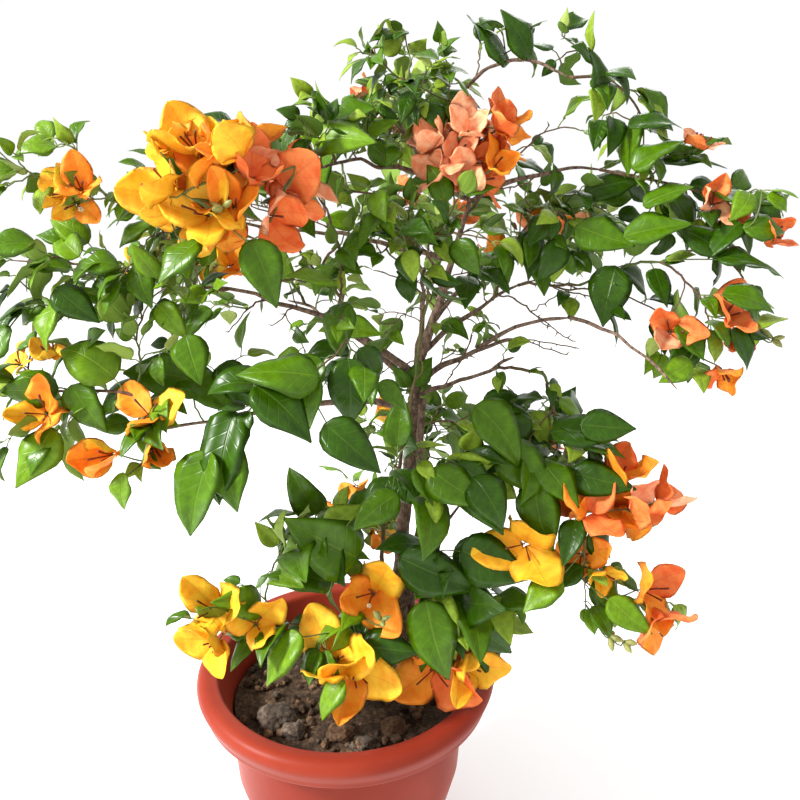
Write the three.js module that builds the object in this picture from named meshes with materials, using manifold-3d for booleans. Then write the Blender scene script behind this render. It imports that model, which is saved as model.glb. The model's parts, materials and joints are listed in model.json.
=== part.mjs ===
// Bougainvillea bush in a round terracotta-coloured plastic pot.
// Millimetres, +Z up. The origin is the centre of the pot's flat underside, the bush's broad side
// faces -Y, and the pot's axis is the Z axis.
//
// The pot and its soil are turned about Z. Every limb is one tapering tube along a Reach curve,
// which starts on its parent limb and is set by a bearing, a reach, a rise, a bow and a sway.
// Every leaf mass is an uneven ball, cut clear of the stems and of the masses beside it.

import * as THREE from 'three';
import { mergeVertices } from 'three/addons/utils/BufferGeometryUtils.js';
import Module from 'manifold-3d';

const wasm = await Module();
wasm.setup();

// ---------------------------------------------------------------- driving dimensions

const GAP = 0.3; // between pieces that touch
const DEG = Math.PI / 180;
const UP = new THREE.Vector3(0, 0, 1);

const POT = {
  height: 250,
  rimRadius: 150, // outside of the rolled rim
  mouthRadius: 129, // inner edge of the rim
  mouthDrop: 5, // its inner edge is this far below the crest
  mouthEase: 3, // and is eased over this width
  rimDepth: 29, // height of the rim's outer face
  rimUndercut: 4, // step under the rim, out from the neck
  rimTaper: 5, // the rim's face leans in by this much towards its lower edge
  edge: 3, // chamfer on the foot and the rim's lower edge
  rimRound: 9, // radius of its rounded crest
  neckRadius: 120, // outer wall just under the rim
  bendHeight: 132, // the straight neck meets the tapered bowl here
  bendRadius: 115,
  footRadius: 82,
  wall: 3.2,
  floor: 4,
  segments: 30,
};

const SOIL = {
  level: 212, // top of the soil above the pot's underside
  crown: 3, // the soil is a little higher in the middle
  crownReach: 0.9, // the crown ends at this part of its radius
  slack: 0.6, // extra clearance from the pot's wall
};

const TRUNK = {
  foot: [52, 48], // x and y where it leaves the soil
  rooted: 8, // starts this far below the soil's top, before it is cut flat there
  top: [70, 36, 540], // its fork
  footDiameter: 17,
  topDiameter: 10.5,
  flare: 0.8, // root flare, as a part of the foot radius
  flareHeight: 16,
  sides: 8,
  steps: 11,
};

const LIMB_SIDES = 5;
const LIMB_STEP = 46; // length of one segment of a limb
const WANDER = 0.012; // how far a limb strays, as a part of its length

const BALL = {
  detail: 2, // subdivisions of each leaf mass
  base: 0.96, // radius before the lumps, as a part of the half sizes
  lumps: 9, // every third lump is a hollow
  lumpHeight: 0.2,
  most: 1.1, // no lump stands out further than this
  underside: 0.85, // height of the lower half, as a part of the upper
};

const PAINT = {
  terracotta: { color: 0xc9573a, roughness: 0.42, metalness: 0 },
  soil: { color: 0x4a3527, roughness: 0.95, metalness: 0 },
  bark: { color: 0x6d5443, roughness: 0.85, metalness: 0 },
  greenwood: { color: 0x7d7a45, roughness: 0.7, metalness: 0 },
  leaf: { color: 0x3f7a22, roughness: 0.5, metalness: 0 },
  bloom: { color: 0xf0862a, roughness: 0.6, metalness: 0 },
};

// Limbs in order, each after its parent. `from` is the parent and the place along it, 0 to 1;
// `bearing` is in degrees from +X towards +Y; `reach` is level, `rise` upright; `bow` lifts the
// middle and `sway` pushes it to the left of the bearing; `girth` is the diameter at each end.
const LIMBS = [
  { name: 'stem_twin', from: ['trunk', 0], start: [12, 7], bearing: -72, reach: 36, rise: 316,
    bow: 0, sway: 2, girth: [10, 7.6] },
  { name: 'stem_front', from: ['trunk', 0], start: [-26, -6], bearing: -40, reach: 76,
    rise: 446, bow: 0, sway: -12, girth: [7, 3.4], paint: 'greenwood' },
  { name: 'bough_main', from: ['trunk', 1], bearing: -5, reach: 46, rise: 158, bow: 0, sway: 5,
    girth: [11, 7] },
  { name: 'bough_left_low', from: ['stem_twin', 0.985], bearing: 197, reach: 262, rise: -4,
    bow: 12, sway: 5, girth: [8, 3.4] },
  { name: 'bough_left', from: ['trunk', 0.99], bearing: 196, reach: 214, rise: 96, bow: 26,
    sway: 4, girth: [8.5, 3.6] },
  { name: 'bough_left_rise', from: ['bough_left', 0.36], bearing: 256, reach: 42, rise: 112,
    bow: 2, sway: 14, girth: [5.5, 3] },
  { name: 'bough_cross', from: ['bough_main', 0.66], bearing: 196, reach: 235, rise: 38,
    bow: 12, sway: -6, girth: [5.5, 3] },
  { name: 'bough_top_left', from: ['bough_main', 1], bearing: 212, reach: 150, rise: 30,
    bow: 18, sway: -10, girth: [6, 3.6] },
  { name: 'bough_top', from: ['bough_top_left', 0.3], bearing: 215, reach: 30, rise: 42,
    bow: 0, sway: 6, girth: [5.5, 3.4] },
  { name: 'bough_right_up', from: ['bough_main', 1], bearing: -17, reach: 112, rise: 28,
    bow: 11, sway: 4, girth: [6, 3.4] },
  { name: 'arch_rise', from: ['bough_top', 0.55], bearing: -12, reach: 82, rise: 64, bow: 12,
    sway: 3, girth: [4.6, 3.6] },
  { name: 'arch_fall', from: ['arch_rise', 1], bearing: -15, reach: 88, rise: -54, bow: 12,
    sway: 3, girth: [3.5, 2.6] },
  { name: 'bough_pruned', from: ['trunk', 0.965], bearing: -15, reach: 106, rise: 50, bow: 12,
    sway: 5, girth: [7, 5] },
  { name: 'bough_stub', from: ['trunk', 0.93], bearing: -29, reach: 98, rise: 52, bow: -3,
    sway: 7, girth: [5.6, 4.4] },
  { name: 'bough_inner', from: ['bough_main', 0.12], bearing: 8, reach: 96, rise: 66, bow: 6,
    sway: 4, girth: [6.4, 3.6] },
  { name: 'droop_rise', from: ['bough_pruned', 0.55], bearing: -36, reach: 88, rise: 40,
    bow: 10, sway: -4, girth: [5, 4] },
  { name: 'droop_fall', from: ['droop_rise', 1], bearing: -42, reach: 98, rise: -42, bow: 12,
    sway: -3, girth: [3.9, 3] },
  { name: 'bough_back', from: ['trunk', 0.985], bearing: 88, reach: 112, rise: 92, bow: 12,
    sway: -6, girth: [8, 4.4] },
  { name: 'bough_back_left', from: ['trunk', 0.95], bearing: 153, reach: 150, rise: 74, bow: 20,
    sway: 6, girth: [7, 3.8] },
  { name: 'bough_back_right', from: ['bough_main', 0.28], bearing: 43, reach: 118, rise: 50,
    bow: 12, sway: 4, girth: [6, 3.6] },
  { name: 'bough_low_right', from: ['trunk', 0.2], bearing: -26, reach: 74, rise: 162, bow: 14,
    sway: -5, girth: [6.5, 3.8] },
  { name: 'bough_low_left', from: ['trunk', 0.3], bearing: 208, reach: 62, rise: 60, bow: -8,
    sway: 0, girth: [5.5, 3.6] },
  { name: 'bough_low_back', from: ['trunk', 0.36], bearing: 80, reach: 56, rise: 62, bow: 4,
    sway: 0, girth: [6, 4] },
];

// Leaf masses. `centre` is from the origin; `half` holds the half sizes along X, Y and
// upright; `pitch` lifts its +X end in degrees; `droop` bends both ends down. `seed` gives each
// its own lumps.
const MASSES = [
  // the upper crown
  { name: 'mass_top', centre: [59, 5, 791], half: [50, 50, 44], seed: 1 },
  { name: 'mass_top_left', centre: [6, -30, 758], half: [42, 38, 26], pitch: -16, seed: 2 },
  { name: 'mass_top_bloom', centre: [112, -20, 744], half: [42, 40, 46], seed: 3,
    paint: 'bloom' },
  { name: 'mass_arch_top', centre: [150, -6, 820], half: [56, 26, 18], pitch: -6, droop: 8,
    seed: 4 },
  { name: 'mass_arch_end', centre: [225, -24, 774], half: [48, 28, 22], pitch: -46, droop: -3,
    seed: 5 },
  { name: 'mass_centre_up', centre: [75, -54, 680], half: [62, 34, 44], seed: 6 },
  // the left side
  { name: 'mass_bloom_left', centre: [-66, -104, 724], half: [62, 50, 44], pitch: -10,
    seed: 7, paint: 'bloom' },
  { name: 'mass_tip_left', centre: [-196, -70, 724], half: [54, 40, 34], pitch: -14, seed: 8 },
  { name: 'mass_left_mid', centre: [-166, -75, 646], half: [90, 54, 38], droop: 8, seed: 9 },
  { name: 'mass_left_outer', centre: [-228, -75, 546], half: [44, 44, 50], seed: 10 },
  { name: 'mass_left_bloom_low', centre: [-142, -100, 539], half: [38, 38, 44], seed: 11,
    paint: 'bloom' },
  { name: 'mass_left_inner', centre: [-106, -34, 580], half: [66, 32, 24], droop: 4, seed: 12 },
  { name: 'mass_left_hang', centre: [-76, -115, 520], half: [34, 32, 48], seed: 13 },
  { name: 'mass_front', centre: [-9, -115, 572], half: [62, 38, 42], pitch: 8, seed: 14 },
  // the right side
  { name: 'mass_right_mid', centre: [202, 14, 676], half: [48, 46, 44], seed: 15 },
  { name: 'mass_right_up', centre: [264, -26, 704], half: [38, 42, 50], seed: 16 },
  { name: 'mass_right_far', centre: [325, -40, 696], half: [42, 40, 44], pitch: -10, seed: 17,
    paint: 'bloom' },
  { name: 'mass_right_low', centre: [298, -28, 600], half: [62, 42, 44], seed: 18 },
  // the lower skirt of leaves round the stems
  { name: 'mass_centre_low', centre: [84, -60, 484], half: [50, 34, 34], seed: 20 },
  { name: 'mass_right_lower', centre: [172, -20, 490], half: [72, 48, 48], pitch: -8, seed: 21 },
  { name: 'mass_bloom_right', centre: [242, -64, 454], half: [50, 40, 38], pitch: 12, seed: 22,
    paint: 'bloom' },
  { name: 'mass_hang_right', centre: [252, -75, 371], half: [54, 38, 38], pitch: -12, seed: 23,
    paint: 'bloom' },
  { name: 'mass_low_front', centre: [104, -34, 342], half: [56, 48, 74], seed: 24 },
  { name: 'mass_low_left', centre: [-28, -24, 394], half: [48, 40, 42], seed: 25 },
  { name: 'mass_low_bloom_left', centre: [-94, -70, 350], half: [48, 38, 36], seed: 26,
    paint: 'bloom' },
  { name: 'mass_low_bloom_front', centre: [0, -75, 317], half: [44, 40, 42], seed: 27,
    paint: 'bloom' },
  // the far side
  { name: 'mass_back_top', centre: [64, 106, 770], half: [62, 48, 44], seed: 28 },
  { name: 'mass_back', centre: [84, 200, 672], half: [74, 46, 58], seed: 29 },
  { name: 'mass_back_left_up', centre: [-62, 84, 722], half: [56, 50, 30], seed: 30 },
  { name: 'mass_back_left', centre: [-146, 130, 640], half: [78, 60, 46], seed: 31 },
  { name: 'mass_back_right', centre: [206, 150, 662], half: [66, 56, 54], seed: 32 },
  { name: 'mass_back_low', centre: [74, 156, 448], half: [66, 50, 46], seed: 33 },
  { name: 'mass_back_low_left', centre: [8, 126, 350], half: [52, 44, 36], seed: 34 },
  { name: 'mass_back_low_right', centre: [196, 100, 448], half: [48, 46, 44], seed: 35 },
];

// ---------------------------------------------------------------- small helpers

// A repeatable stream of numbers from 0 to 1.
function randomStream(seed) {
  let state = (seed * 2654435761) % 4294967296;
  return () => {
    state = (state * 1664525 + 1013904223) % 4294967296;
    return state / 4294967296;
  };
}

function materialFor(key) {
  return new THREE.MeshStandardMaterial(PAINT[key]);
}

// The closed mesh of a geometry as a manifold-3d solid.
function toSolid(geometry) {
  const bare = geometry.index ? geometry.toNonIndexed() : geometry.clone();
  bare.deleteAttribute('normal');
  bare.deleteAttribute('uv');
  const merged = mergeVertices(bare, 1e-4);
  return new wasm.Manifold(new wasm.Mesh({
    numProp: 3,
    vertProperties: new Float32Array(merged.attributes.position.array),
    triVerts: new Uint32Array(merged.index.array),
  }));
}

// A manifold-3d solid as a three.js geometry, measured from `origin`.
function toGeometry(solid, origin) {
  const mesh = solid.getMesh();
  const geometry = new THREE.BufferGeometry();
  geometry.setAttribute('position', new THREE.BufferAttribute(mesh.vertProperties, 3));
  geometry.setIndex(new THREE.BufferAttribute(mesh.triVerts, 1));
  geometry.translate(-origin.x, -origin.y, -origin.z);
  return geometry;
}

// What is left of a solid after the cutters, as its one largest body.
function cutClear(solid, cutters) {
  let left = solid;
  for (const cutter of cutters) left = left.subtract(cutter);
  const bodies = left.decompose();
  bodies.sort((a, b) => b.volume() - a.volume());
  return bodies[0];
}

// ---------------------------------------------------------------- pot and soil

function potProfile() {
  const p = POT;
  const crest = p.height - p.rimRound;
  const roll = p.rimRadius - p.rimRound;
  const under = p.height - p.rimDepth;
  const profile = new THREE.Path();
  profile.moveTo(0, 0);
  profile.lineTo(p.footRadius - p.edge, 0);
  profile.lineTo(p.footRadius, p.edge);
  profile.lineTo(p.bendRadius, p.bendHeight);
  profile.lineTo(p.neckRadius, under - p.edge);
  profile.lineTo(p.neckRadius + p.rimUndercut, under);
  profile.lineTo(p.rimRadius - p.rimTaper - p.edge, under);
  profile.lineTo(p.rimRadius - p.rimTaper, under + p.edge);
  profile.absarc(roll, crest, p.rimRound, 0, 90 * DEG, false);
  profile.lineTo(p.mouthRadius + p.mouthEase, p.height - p.mouthDrop + p.mouthEase);
  profile.lineTo(p.mouthRadius, p.height - p.mouthDrop);
  profile.lineTo(p.neckRadius - p.wall, under - p.edge);
  profile.lineTo(p.bendRadius - p.wall, p.bendHeight);
  profile.lineTo(p.footRadius - p.wall, p.floor);
  profile.lineTo(0, p.floor);
  return profile.getPoints(2);
}

// The inner radius of the pot's wall at a height.
function innerRadius(height) {
  const p = POT;
  const bowl = (height - p.floor) / (p.bendHeight - p.floor);
  if (bowl < 1) return THREE.MathUtils.lerp(p.footRadius, p.bendRadius, bowl) - p.wall;
  const neckTop = p.height - p.rimDepth - p.edge;
  const neck = (height - p.bendHeight) / (neckTop - p.bendHeight);
  return THREE.MathUtils.lerp(p.bendRadius, p.neckRadius, neck) - p.wall;
}

function makePot() {
  return new THREE.LatheGeometry(potProfile(), POT.segments).rotateX(90 * DEG);
}

function makeSoil() {
  const inset = GAP / Math.cos(Math.PI / POT.segments) + SOIL.slack;
  const at = (height) => new THREE.Vector2(innerRadius(height) - inset, height);
  const rim = at(SOIL.level - SOIL.crown);
  const profile = [
    new THREE.Vector2(0, POT.floor + GAP),
    new THREE.Vector2(innerRadius(POT.floor) - inset, POT.floor + GAP),
    at(POT.bendHeight),
    rim,
    new THREE.Vector2(rim.x * SOIL.crownReach, SOIL.level),
    new THREE.Vector2(0, SOIL.level),
  ];
  return new THREE.LatheGeometry(profile, POT.segments).rotateX(90 * DEG);
}

// ---------------------------------------------------------------- limbs

// A limb's centre line: a straight reach that bows, sways and wanders a little.
class Reach extends THREE.Curve {
  constructor(start, limb, seed) {
    super();
    const bearing = limb.bearing * DEG;
    const random = randomStream(seed);
    this.start = start;
    this.chord = new THREE.Vector3(
      limb.reach * Math.cos(bearing),
      limb.reach * Math.sin(bearing),
      limb.rise,
    );
    this.bow = limb.bow;
    this.sway = limb.sway;
    this.side = new THREE.Vector3(-Math.sin(bearing), Math.cos(bearing), 0);
    this.wander = WANDER * this.chord.length();
    this.phase = [random(), random()];
  }

  getPoint(t, target = new THREE.Vector3()) {
    const hump = 4 * t * (1 - t);
    const turn = 2 * Math.PI;
    const kinkUp = this.wander * hump * Math.sin(turn * (2.2 * t + this.phase[0]));
    const kinkSide = this.wander * hump * Math.sin(turn * (1.6 * t + this.phase[1]));
    return target.copy(this.start)
      .addScaledVector(this.chord, t)
      .addScaledVector(UP, this.bow * hump + kinkUp)
      .addScaledVector(this.side, this.sway * hump + kinkSide);
  }
}

const isStem = (limb) => limb.name === 'trunk' || limb.name.startsWith('stem_');

// A tapering tube along a curve, `grow` larger all round: a cylinder bent to the curve.
function tubeGeometry(limb, grow) {
  const { curve, radiusAt, sides, steps } = limb;
  const frames = curve.computeFrenetFrames(steps, false);
  const geometry = new THREE.CylinderGeometry(1, 1, 1, sides, steps);
  const position = geometry.attributes.position;
  const point = new THREE.Vector3();
  for (let i = 0; i < position.count; i += 1) {
    const t = position.getY(i) + 0.5;
    const step = Math.round(t * steps);
    const radius = Math.hypot(position.getX(i), position.getZ(i)) * (radiusAt(t) + grow);
    const angle = Math.atan2(position.getZ(i), position.getX(i));
    curve.getPoint(t, point)
      .addScaledVector(frames.normals[step], radius * Math.cos(angle))
      .addScaledVector(frames.binormals[step], -radius * Math.sin(angle));
    if (step === 0) point.addScaledVector(frames.tangents[0], -grow);
    if (step === steps) point.addScaledVector(frames.tangents[steps], grow);
    position.setXYZ(i, point.x, point.y, point.z);
  }
  return geometry;
}

function makeTrunk() {
  const start = new THREE.Vector3(...TRUNK.foot, SOIL.level - TRUNK.rooted);
  const chord = new THREE.Vector3(...TRUNK.top).sub(start);
  const line = {
    bearing: Math.atan2(chord.y, chord.x) / DEG,
    reach: Math.hypot(chord.x, chord.y),
    rise: chord.z,
    bow: 0,
    sway: -5,
  };
  const curve = new Reach(start, line, 3);
  const radiusAt = (t) => {
    const plain = THREE.MathUtils.lerp(TRUNK.footDiameter, TRUNK.topDiameter, t) / 2;
    const above = Math.max(0, t * chord.z - TRUNK.rooted);
    return plain * (1 + TRUNK.flare * Math.exp(-above / TRUNK.flareHeight));
  };
  return { name: 'trunk', curve, radiusAt, sides: TRUNK.sides, steps: TRUNK.steps };
}

// Every limb with its curve, worked out from its parent's.
function growLimbs() {
  const limbs = new Map([['trunk', makeTrunk()]]);
  LIMBS.forEach((row, index) => {
    const [parentName, along] = row.from;
    const start = limbs.get(parentName).curve.getPoint(along);
    if (row.start) start.add(new THREE.Vector3(...row.start, 0));
    const curve = new Reach(start, row, index + 11);
    const [thick, thin] = row.girth;
    const radiusAt = (t) => THREE.MathUtils.lerp(thick, thin, t) / 2;
    const steps = Math.max(4, Math.round(curve.getLength() / LIMB_STEP));
    limbs.set(row.name, { ...row, curve, radiusAt, sides: LIMB_SIDES, steps });
  });
  return limbs;
}

// ---------------------------------------------------------------- leaf masses

// An uneven ball: seeded lumps push its surface out and in, and it is a little flat beneath.
function massGeometry(mass) {
  const random = randomStream(mass.seed * 7 + 5);
  const lumps = [];
  for (let i = 0; i < BALL.lumps; i += 1) {
    const z = 2 * random() - 1;
    const turn = 2 * Math.PI * random();
    const level = Math.sqrt(1 - z * z);
    const direction = new THREE.Vector3(level * Math.cos(turn), level * Math.sin(turn), z);
    const hollow = i % 3 === 2 ? -1 : 1;
    lumps.push({ direction, size: hollow * BALL.lumpHeight * (0.6 + 0.6 * random()) });
  }
  const [along, across, upright] = mass.half;
  const pitch = (mass.pitch ?? 0) * DEG;
  const geometry = new THREE.IcosahedronGeometry(1, BALL.detail);
  const position = geometry.attributes.position;
  const point = new THREE.Vector3();
  for (let i = 0; i < position.count; i += 1) {
    point.fromBufferAttribute(position, i);
    let radius = BALL.base;
    for (const { direction, size } of lumps) {
      radius += size * Math.max(0, point.dot(direction)) ** 4;
    }
    point.multiplyScalar(Math.min(radius, BALL.most));
    const flat = point.z < 0 ? BALL.underside : 1;
    const drop = (mass.droop ?? 0) * point.x * point.x;
    position.setXYZ(i, point.x * along, point.y * across, point.z * upright * flat - drop);
  }
  return geometry.rotateY(-pitch).translate(...mass.centre);
}

// The same ball a little larger, which cuts its neighbours clear of it.
function grown(mass) {
  return { ...mass, half: mass.half.map((size) => size + 2 * GAP) };
}

// ---------------------------------------------------------------- the whole plant

function addMesh(group, name, geometry, paint, origin = new THREE.Vector3()) {
  const mesh = new THREE.Mesh(geometry, materialFor(paint));
  mesh.name = name;
  mesh.position.copy(origin);
  group.add(mesh);
}

function buildBush() {
  const bush = new THREE.Group();
  addMesh(bush, 'pot', makePot(), 'terracotta');
  const soilGeometry = makeSoil();
  addMesh(bush, 'soil', soilGeometry, 'soil');

  // Each limb is cut clear of the soil, of the limbs before it and of every mass, so a bough
  // ends where it enters its leaves. A stem's foot is cut flat at the soil.
  const ground = toSolid(soilGeometry.clone().translate(0, 0, GAP));
  const limbs = [...growLimbs().values()];
  const massSolids = MASSES.map((mass) => toSolid(massGeometry(mass)));
  const massCutters = MASSES.map((mass) => toSolid(massGeometry(grown(mass))));
  const limbCutters = limbs.map((limb) => toSolid(tubeGeometry(limb, GAP)));
  limbs.forEach((limb, index) => {
    const before = limbCutters.slice(0, index);
    const cutters = isStem(limb) ? [ground, ...before] : [...before, ...massCutters];
    const solid = cutClear(toSolid(tubeGeometry(limb, 0)), cutters);
    const origin = limb.curve.getPoint(0);
    const paint = limb.paint ?? 'bark';
    addMesh(bush, limb.name, toGeometry(solid, origin), paint, origin);
  });

  // Each mass is cut clear of the stems that run up through the leaves, and of the masses
  // before it.
  const stems = limbCutters.filter((_, index) => isStem(limbs[index]));
  MASSES.forEach((mass, index) => {
    const solid = cutClear(massSolids[index], [...stems, ...massCutters.slice(0, index)]);
    const origin = new THREE.Vector3(...mass.centre);
    addMesh(bush, mass.name, toGeometry(solid, origin), mass.paint ?? 'leaf', origin);
  });
  return bush;
}

export default buildBush();
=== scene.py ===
"""The looks of a bougainvillea bush in its terracotta-coloured pot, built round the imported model.

The trunk and boughs are skinned along the centre lines of their CAD solids. Twigs grow on from
them into each leaf mass by a seeded rule, and carry alternate leaves, thorns and blooms. All
lengths are in metres. Tables that give millimetres say so.
"""

import json
import math
import typing

import bmesh
import bpy
import numpy as np
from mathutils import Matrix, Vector, noise
from mathutils.bvhtree import BVHTree

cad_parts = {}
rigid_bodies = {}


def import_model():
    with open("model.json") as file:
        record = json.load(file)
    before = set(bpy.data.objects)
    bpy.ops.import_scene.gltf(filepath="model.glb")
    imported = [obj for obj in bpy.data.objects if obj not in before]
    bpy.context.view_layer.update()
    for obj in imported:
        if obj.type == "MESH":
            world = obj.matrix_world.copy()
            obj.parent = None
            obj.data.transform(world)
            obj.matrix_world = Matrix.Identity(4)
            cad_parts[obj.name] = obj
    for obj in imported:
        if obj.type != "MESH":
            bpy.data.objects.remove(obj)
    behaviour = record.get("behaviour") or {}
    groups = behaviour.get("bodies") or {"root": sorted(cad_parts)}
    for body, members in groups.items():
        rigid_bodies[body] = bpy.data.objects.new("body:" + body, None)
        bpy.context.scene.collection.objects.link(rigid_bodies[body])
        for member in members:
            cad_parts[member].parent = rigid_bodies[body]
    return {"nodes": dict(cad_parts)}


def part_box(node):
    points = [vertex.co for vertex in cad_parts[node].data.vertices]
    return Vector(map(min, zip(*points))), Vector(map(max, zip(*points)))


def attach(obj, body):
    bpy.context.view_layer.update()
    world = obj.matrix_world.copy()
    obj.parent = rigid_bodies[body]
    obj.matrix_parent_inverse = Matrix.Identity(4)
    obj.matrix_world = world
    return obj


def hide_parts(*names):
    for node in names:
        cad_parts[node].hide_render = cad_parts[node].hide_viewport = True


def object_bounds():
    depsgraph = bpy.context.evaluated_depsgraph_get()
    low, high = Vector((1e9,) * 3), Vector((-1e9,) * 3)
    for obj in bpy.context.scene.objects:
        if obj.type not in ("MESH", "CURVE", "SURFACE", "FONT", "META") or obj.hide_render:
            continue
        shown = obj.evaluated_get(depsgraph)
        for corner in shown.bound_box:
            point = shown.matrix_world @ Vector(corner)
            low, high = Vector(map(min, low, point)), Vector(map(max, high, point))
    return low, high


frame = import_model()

CAD_BOX = np.array(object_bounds())
MM = 0.001
UP = np.array([0.0, 0.0, 1.0])
OVERHANG = 11 * MM  # how far a leaf may stand out of the CAD model's box
NODES = frame["nodes"]
SEED = 20
TURN = 6.28  # a full turn in radians, for random angles

rng = np.random.default_rng(SEED)


# ------------------------------------------------------------------ small vector helpers

def unit(vectors):
    """Vectors scaled to length 1, along the last axis."""
    vectors = np.asarray(vectors, float)
    size = np.linalg.norm(vectors, axis=-1, keepdims=True)
    return vectors / np.maximum(size, 1e-9)


def smoothstep(low, high, value):
    """A smooth rise from 0 at low to 1 at high, and level past them."""
    t = np.clip((value - low) / (high - low), 0, 1)
    return t * t * (3 - 2 * t)


def square_to(normal, direction):
    """The part of normal that is square to direction, as a unit vector."""
    along = np.sum(normal * direction, axis=-1, keepdims=True)
    return unit(normal - along * direction)


def spoke(angle, right, front):
    """The way at an angle in the plane of two directions."""
    return math.cos(angle) * right + math.sin(angle) * front


def travelled(path):
    """How far along a path each of its points is."""
    gaps = np.linalg.norm(np.diff(path, axis=0), axis=1)
    return np.concatenate([[0], np.cumsum(gaps)])


def corners(node):
    """The low and high corners of a node's box."""
    low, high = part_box(node)
    return np.array(low), np.array(high)


def spot(node, fractions):
    """A place in a node's box, given as fractions of its size."""
    low, high = corners(node)
    return low + (high - low) * np.array(fractions)


def table(text):
    """The rows of a text table: words stay text and the rest become numbers."""
    for row in text.strip().splitlines():
        yield [word if word[0].isalpha() else float(word) for word in row.split()]


def points_of(node):
    mesh = NODES[node].data
    flat = np.zeros(len(mesh.vertices) * 3)
    mesh.vertices.foreach_get("co", flat)
    return flat.reshape(-1, 3)


# ------------------------------------------------------------------ joining meshes

def add_object(name, data):
    piece = bpy.data.objects.new(name, data)
    bpy.context.scene.collection.objects.link(piece)
    return piece


def make_piece(name, points, faces, material, slot, replaces=(), uvs=None):
    """A smooth mesh that rides with the plant."""
    mesh = bpy.data.meshes.new(name)
    mesh.from_pydata(points.tolist(), [], faces)
    if uvs is not None:
        mesh.uv_layers.new(name="OFBake").data.foreach_set("uv", uvs.ravel())
    mesh.materials.append(material)
    mesh.polygons.foreach_set("use_smooth", [True] * len(mesh.polygons))
    mesh.update()
    piece = add_object(name, mesh)
    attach(piece, "root")
    if replaces:
        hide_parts(*replaces)


class Batch:
    """Many small shapes joined into one mesh."""

    def __init__(self, name):
        self.name = name
        self.points = []
        self.faces = []
        self.count = 0

    def add(self, points, faces):
        self.points.append(np.asarray(points, float))
        self.faces.extend([tuple(i + self.count for i in face) for face in faces])
        self.count += len(points)

    def build(self, material, slot, replaces=()):
        make_piece(self.name, np.concatenate(self.points), self.faces, material, slot, replaces)


def tube_faces(rings, sides):
    """Faces of a closed tube whose points are rings of the given sides, then two end points."""
    faces = []
    for ring in range(rings - 1):
        for side in range(sides):
            a = ring * sides + side
            b = ring * sides + (side + 1) % sides
            faces.append((a, b, b + sides, a + sides))
    start = rings * sides
    last = (rings - 1) * sides
    for side in range(sides):
        after = (side + 1) % sides
        faces.append((start, after, side))
        faces.append((start + 1, last + side, last + after))
    return faces


def frames_along(path):
    """Tangents and two side directions that turn as little as possible along a path."""
    tangents = unit(np.gradient(path, axis=0))
    first = np.cross(tangents[0], [0.3, 0.9, 0.2])
    sides = [unit(first)]
    for tangent in tangents[1:]:
        sides.append(square_to(sides[-1], tangent))
    sides = np.array(sides)
    return tangents, sides, np.cross(tangents, sides)


def tube_points(path, radii, sides, relief=None):
    """Points of a tube along a path. relief(ring, angles) is a factor on each radius."""
    tangents, right, front = frames_along(path)
    angles = np.arange(sides) * 2 * math.pi / sides
    rings = []
    for index, centre in enumerate(path):
        reach = radii[index] * (relief(index, angles) if relief else np.ones(sides))
        rings.append(centre + reach[:, None] * (np.cos(angles)[:, None] * right[index]
                                                + np.sin(angles)[:, None] * front[index]))
    ends = [path[0] - tangents[0] * radii[0] * 0.25, path[-1] + tangents[-1] * radii[-1] * 0.35]
    return np.concatenate(rings + [np.array(ends)])


def add_tube(batch, path, radii, sides, relief=None):
    path = np.asarray(path, float)
    batch.add(tube_points(path, radii, sides, relief), tube_faces(len(path), sides))


def resample(path, values, step):
    """A smooth path through the points, at even steps, with the values carried along."""
    path = np.asarray(path, float)
    place = travelled(path)
    count = max(4, int(place[-1] / step) + 1)
    at = np.linspace(0, place[-1], count)
    slopes = np.gradient(path, place, axis=0)
    index = np.clip(np.searchsorted(place, at, side="right") - 1, 0, len(path) - 2)
    span = (place[index + 1] - place[index])
    t = ((at - place[index]) / span)[:, None]
    a, b = path[index], path[index + 1]
    m, n = slopes[index] * span[:, None], slopes[index + 1] * span[:, None]
    smooth = ((2 * t**3 - 3 * t**2 + 1) * a + (t**3 - 2 * t**2 + t) * m
              + (-2 * t**3 + 3 * t**2) * b + (t**3 - t**2) * n)
    return smooth, np.interp(at, place, values)


# ------------------------------------------------------------------ materials

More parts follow.
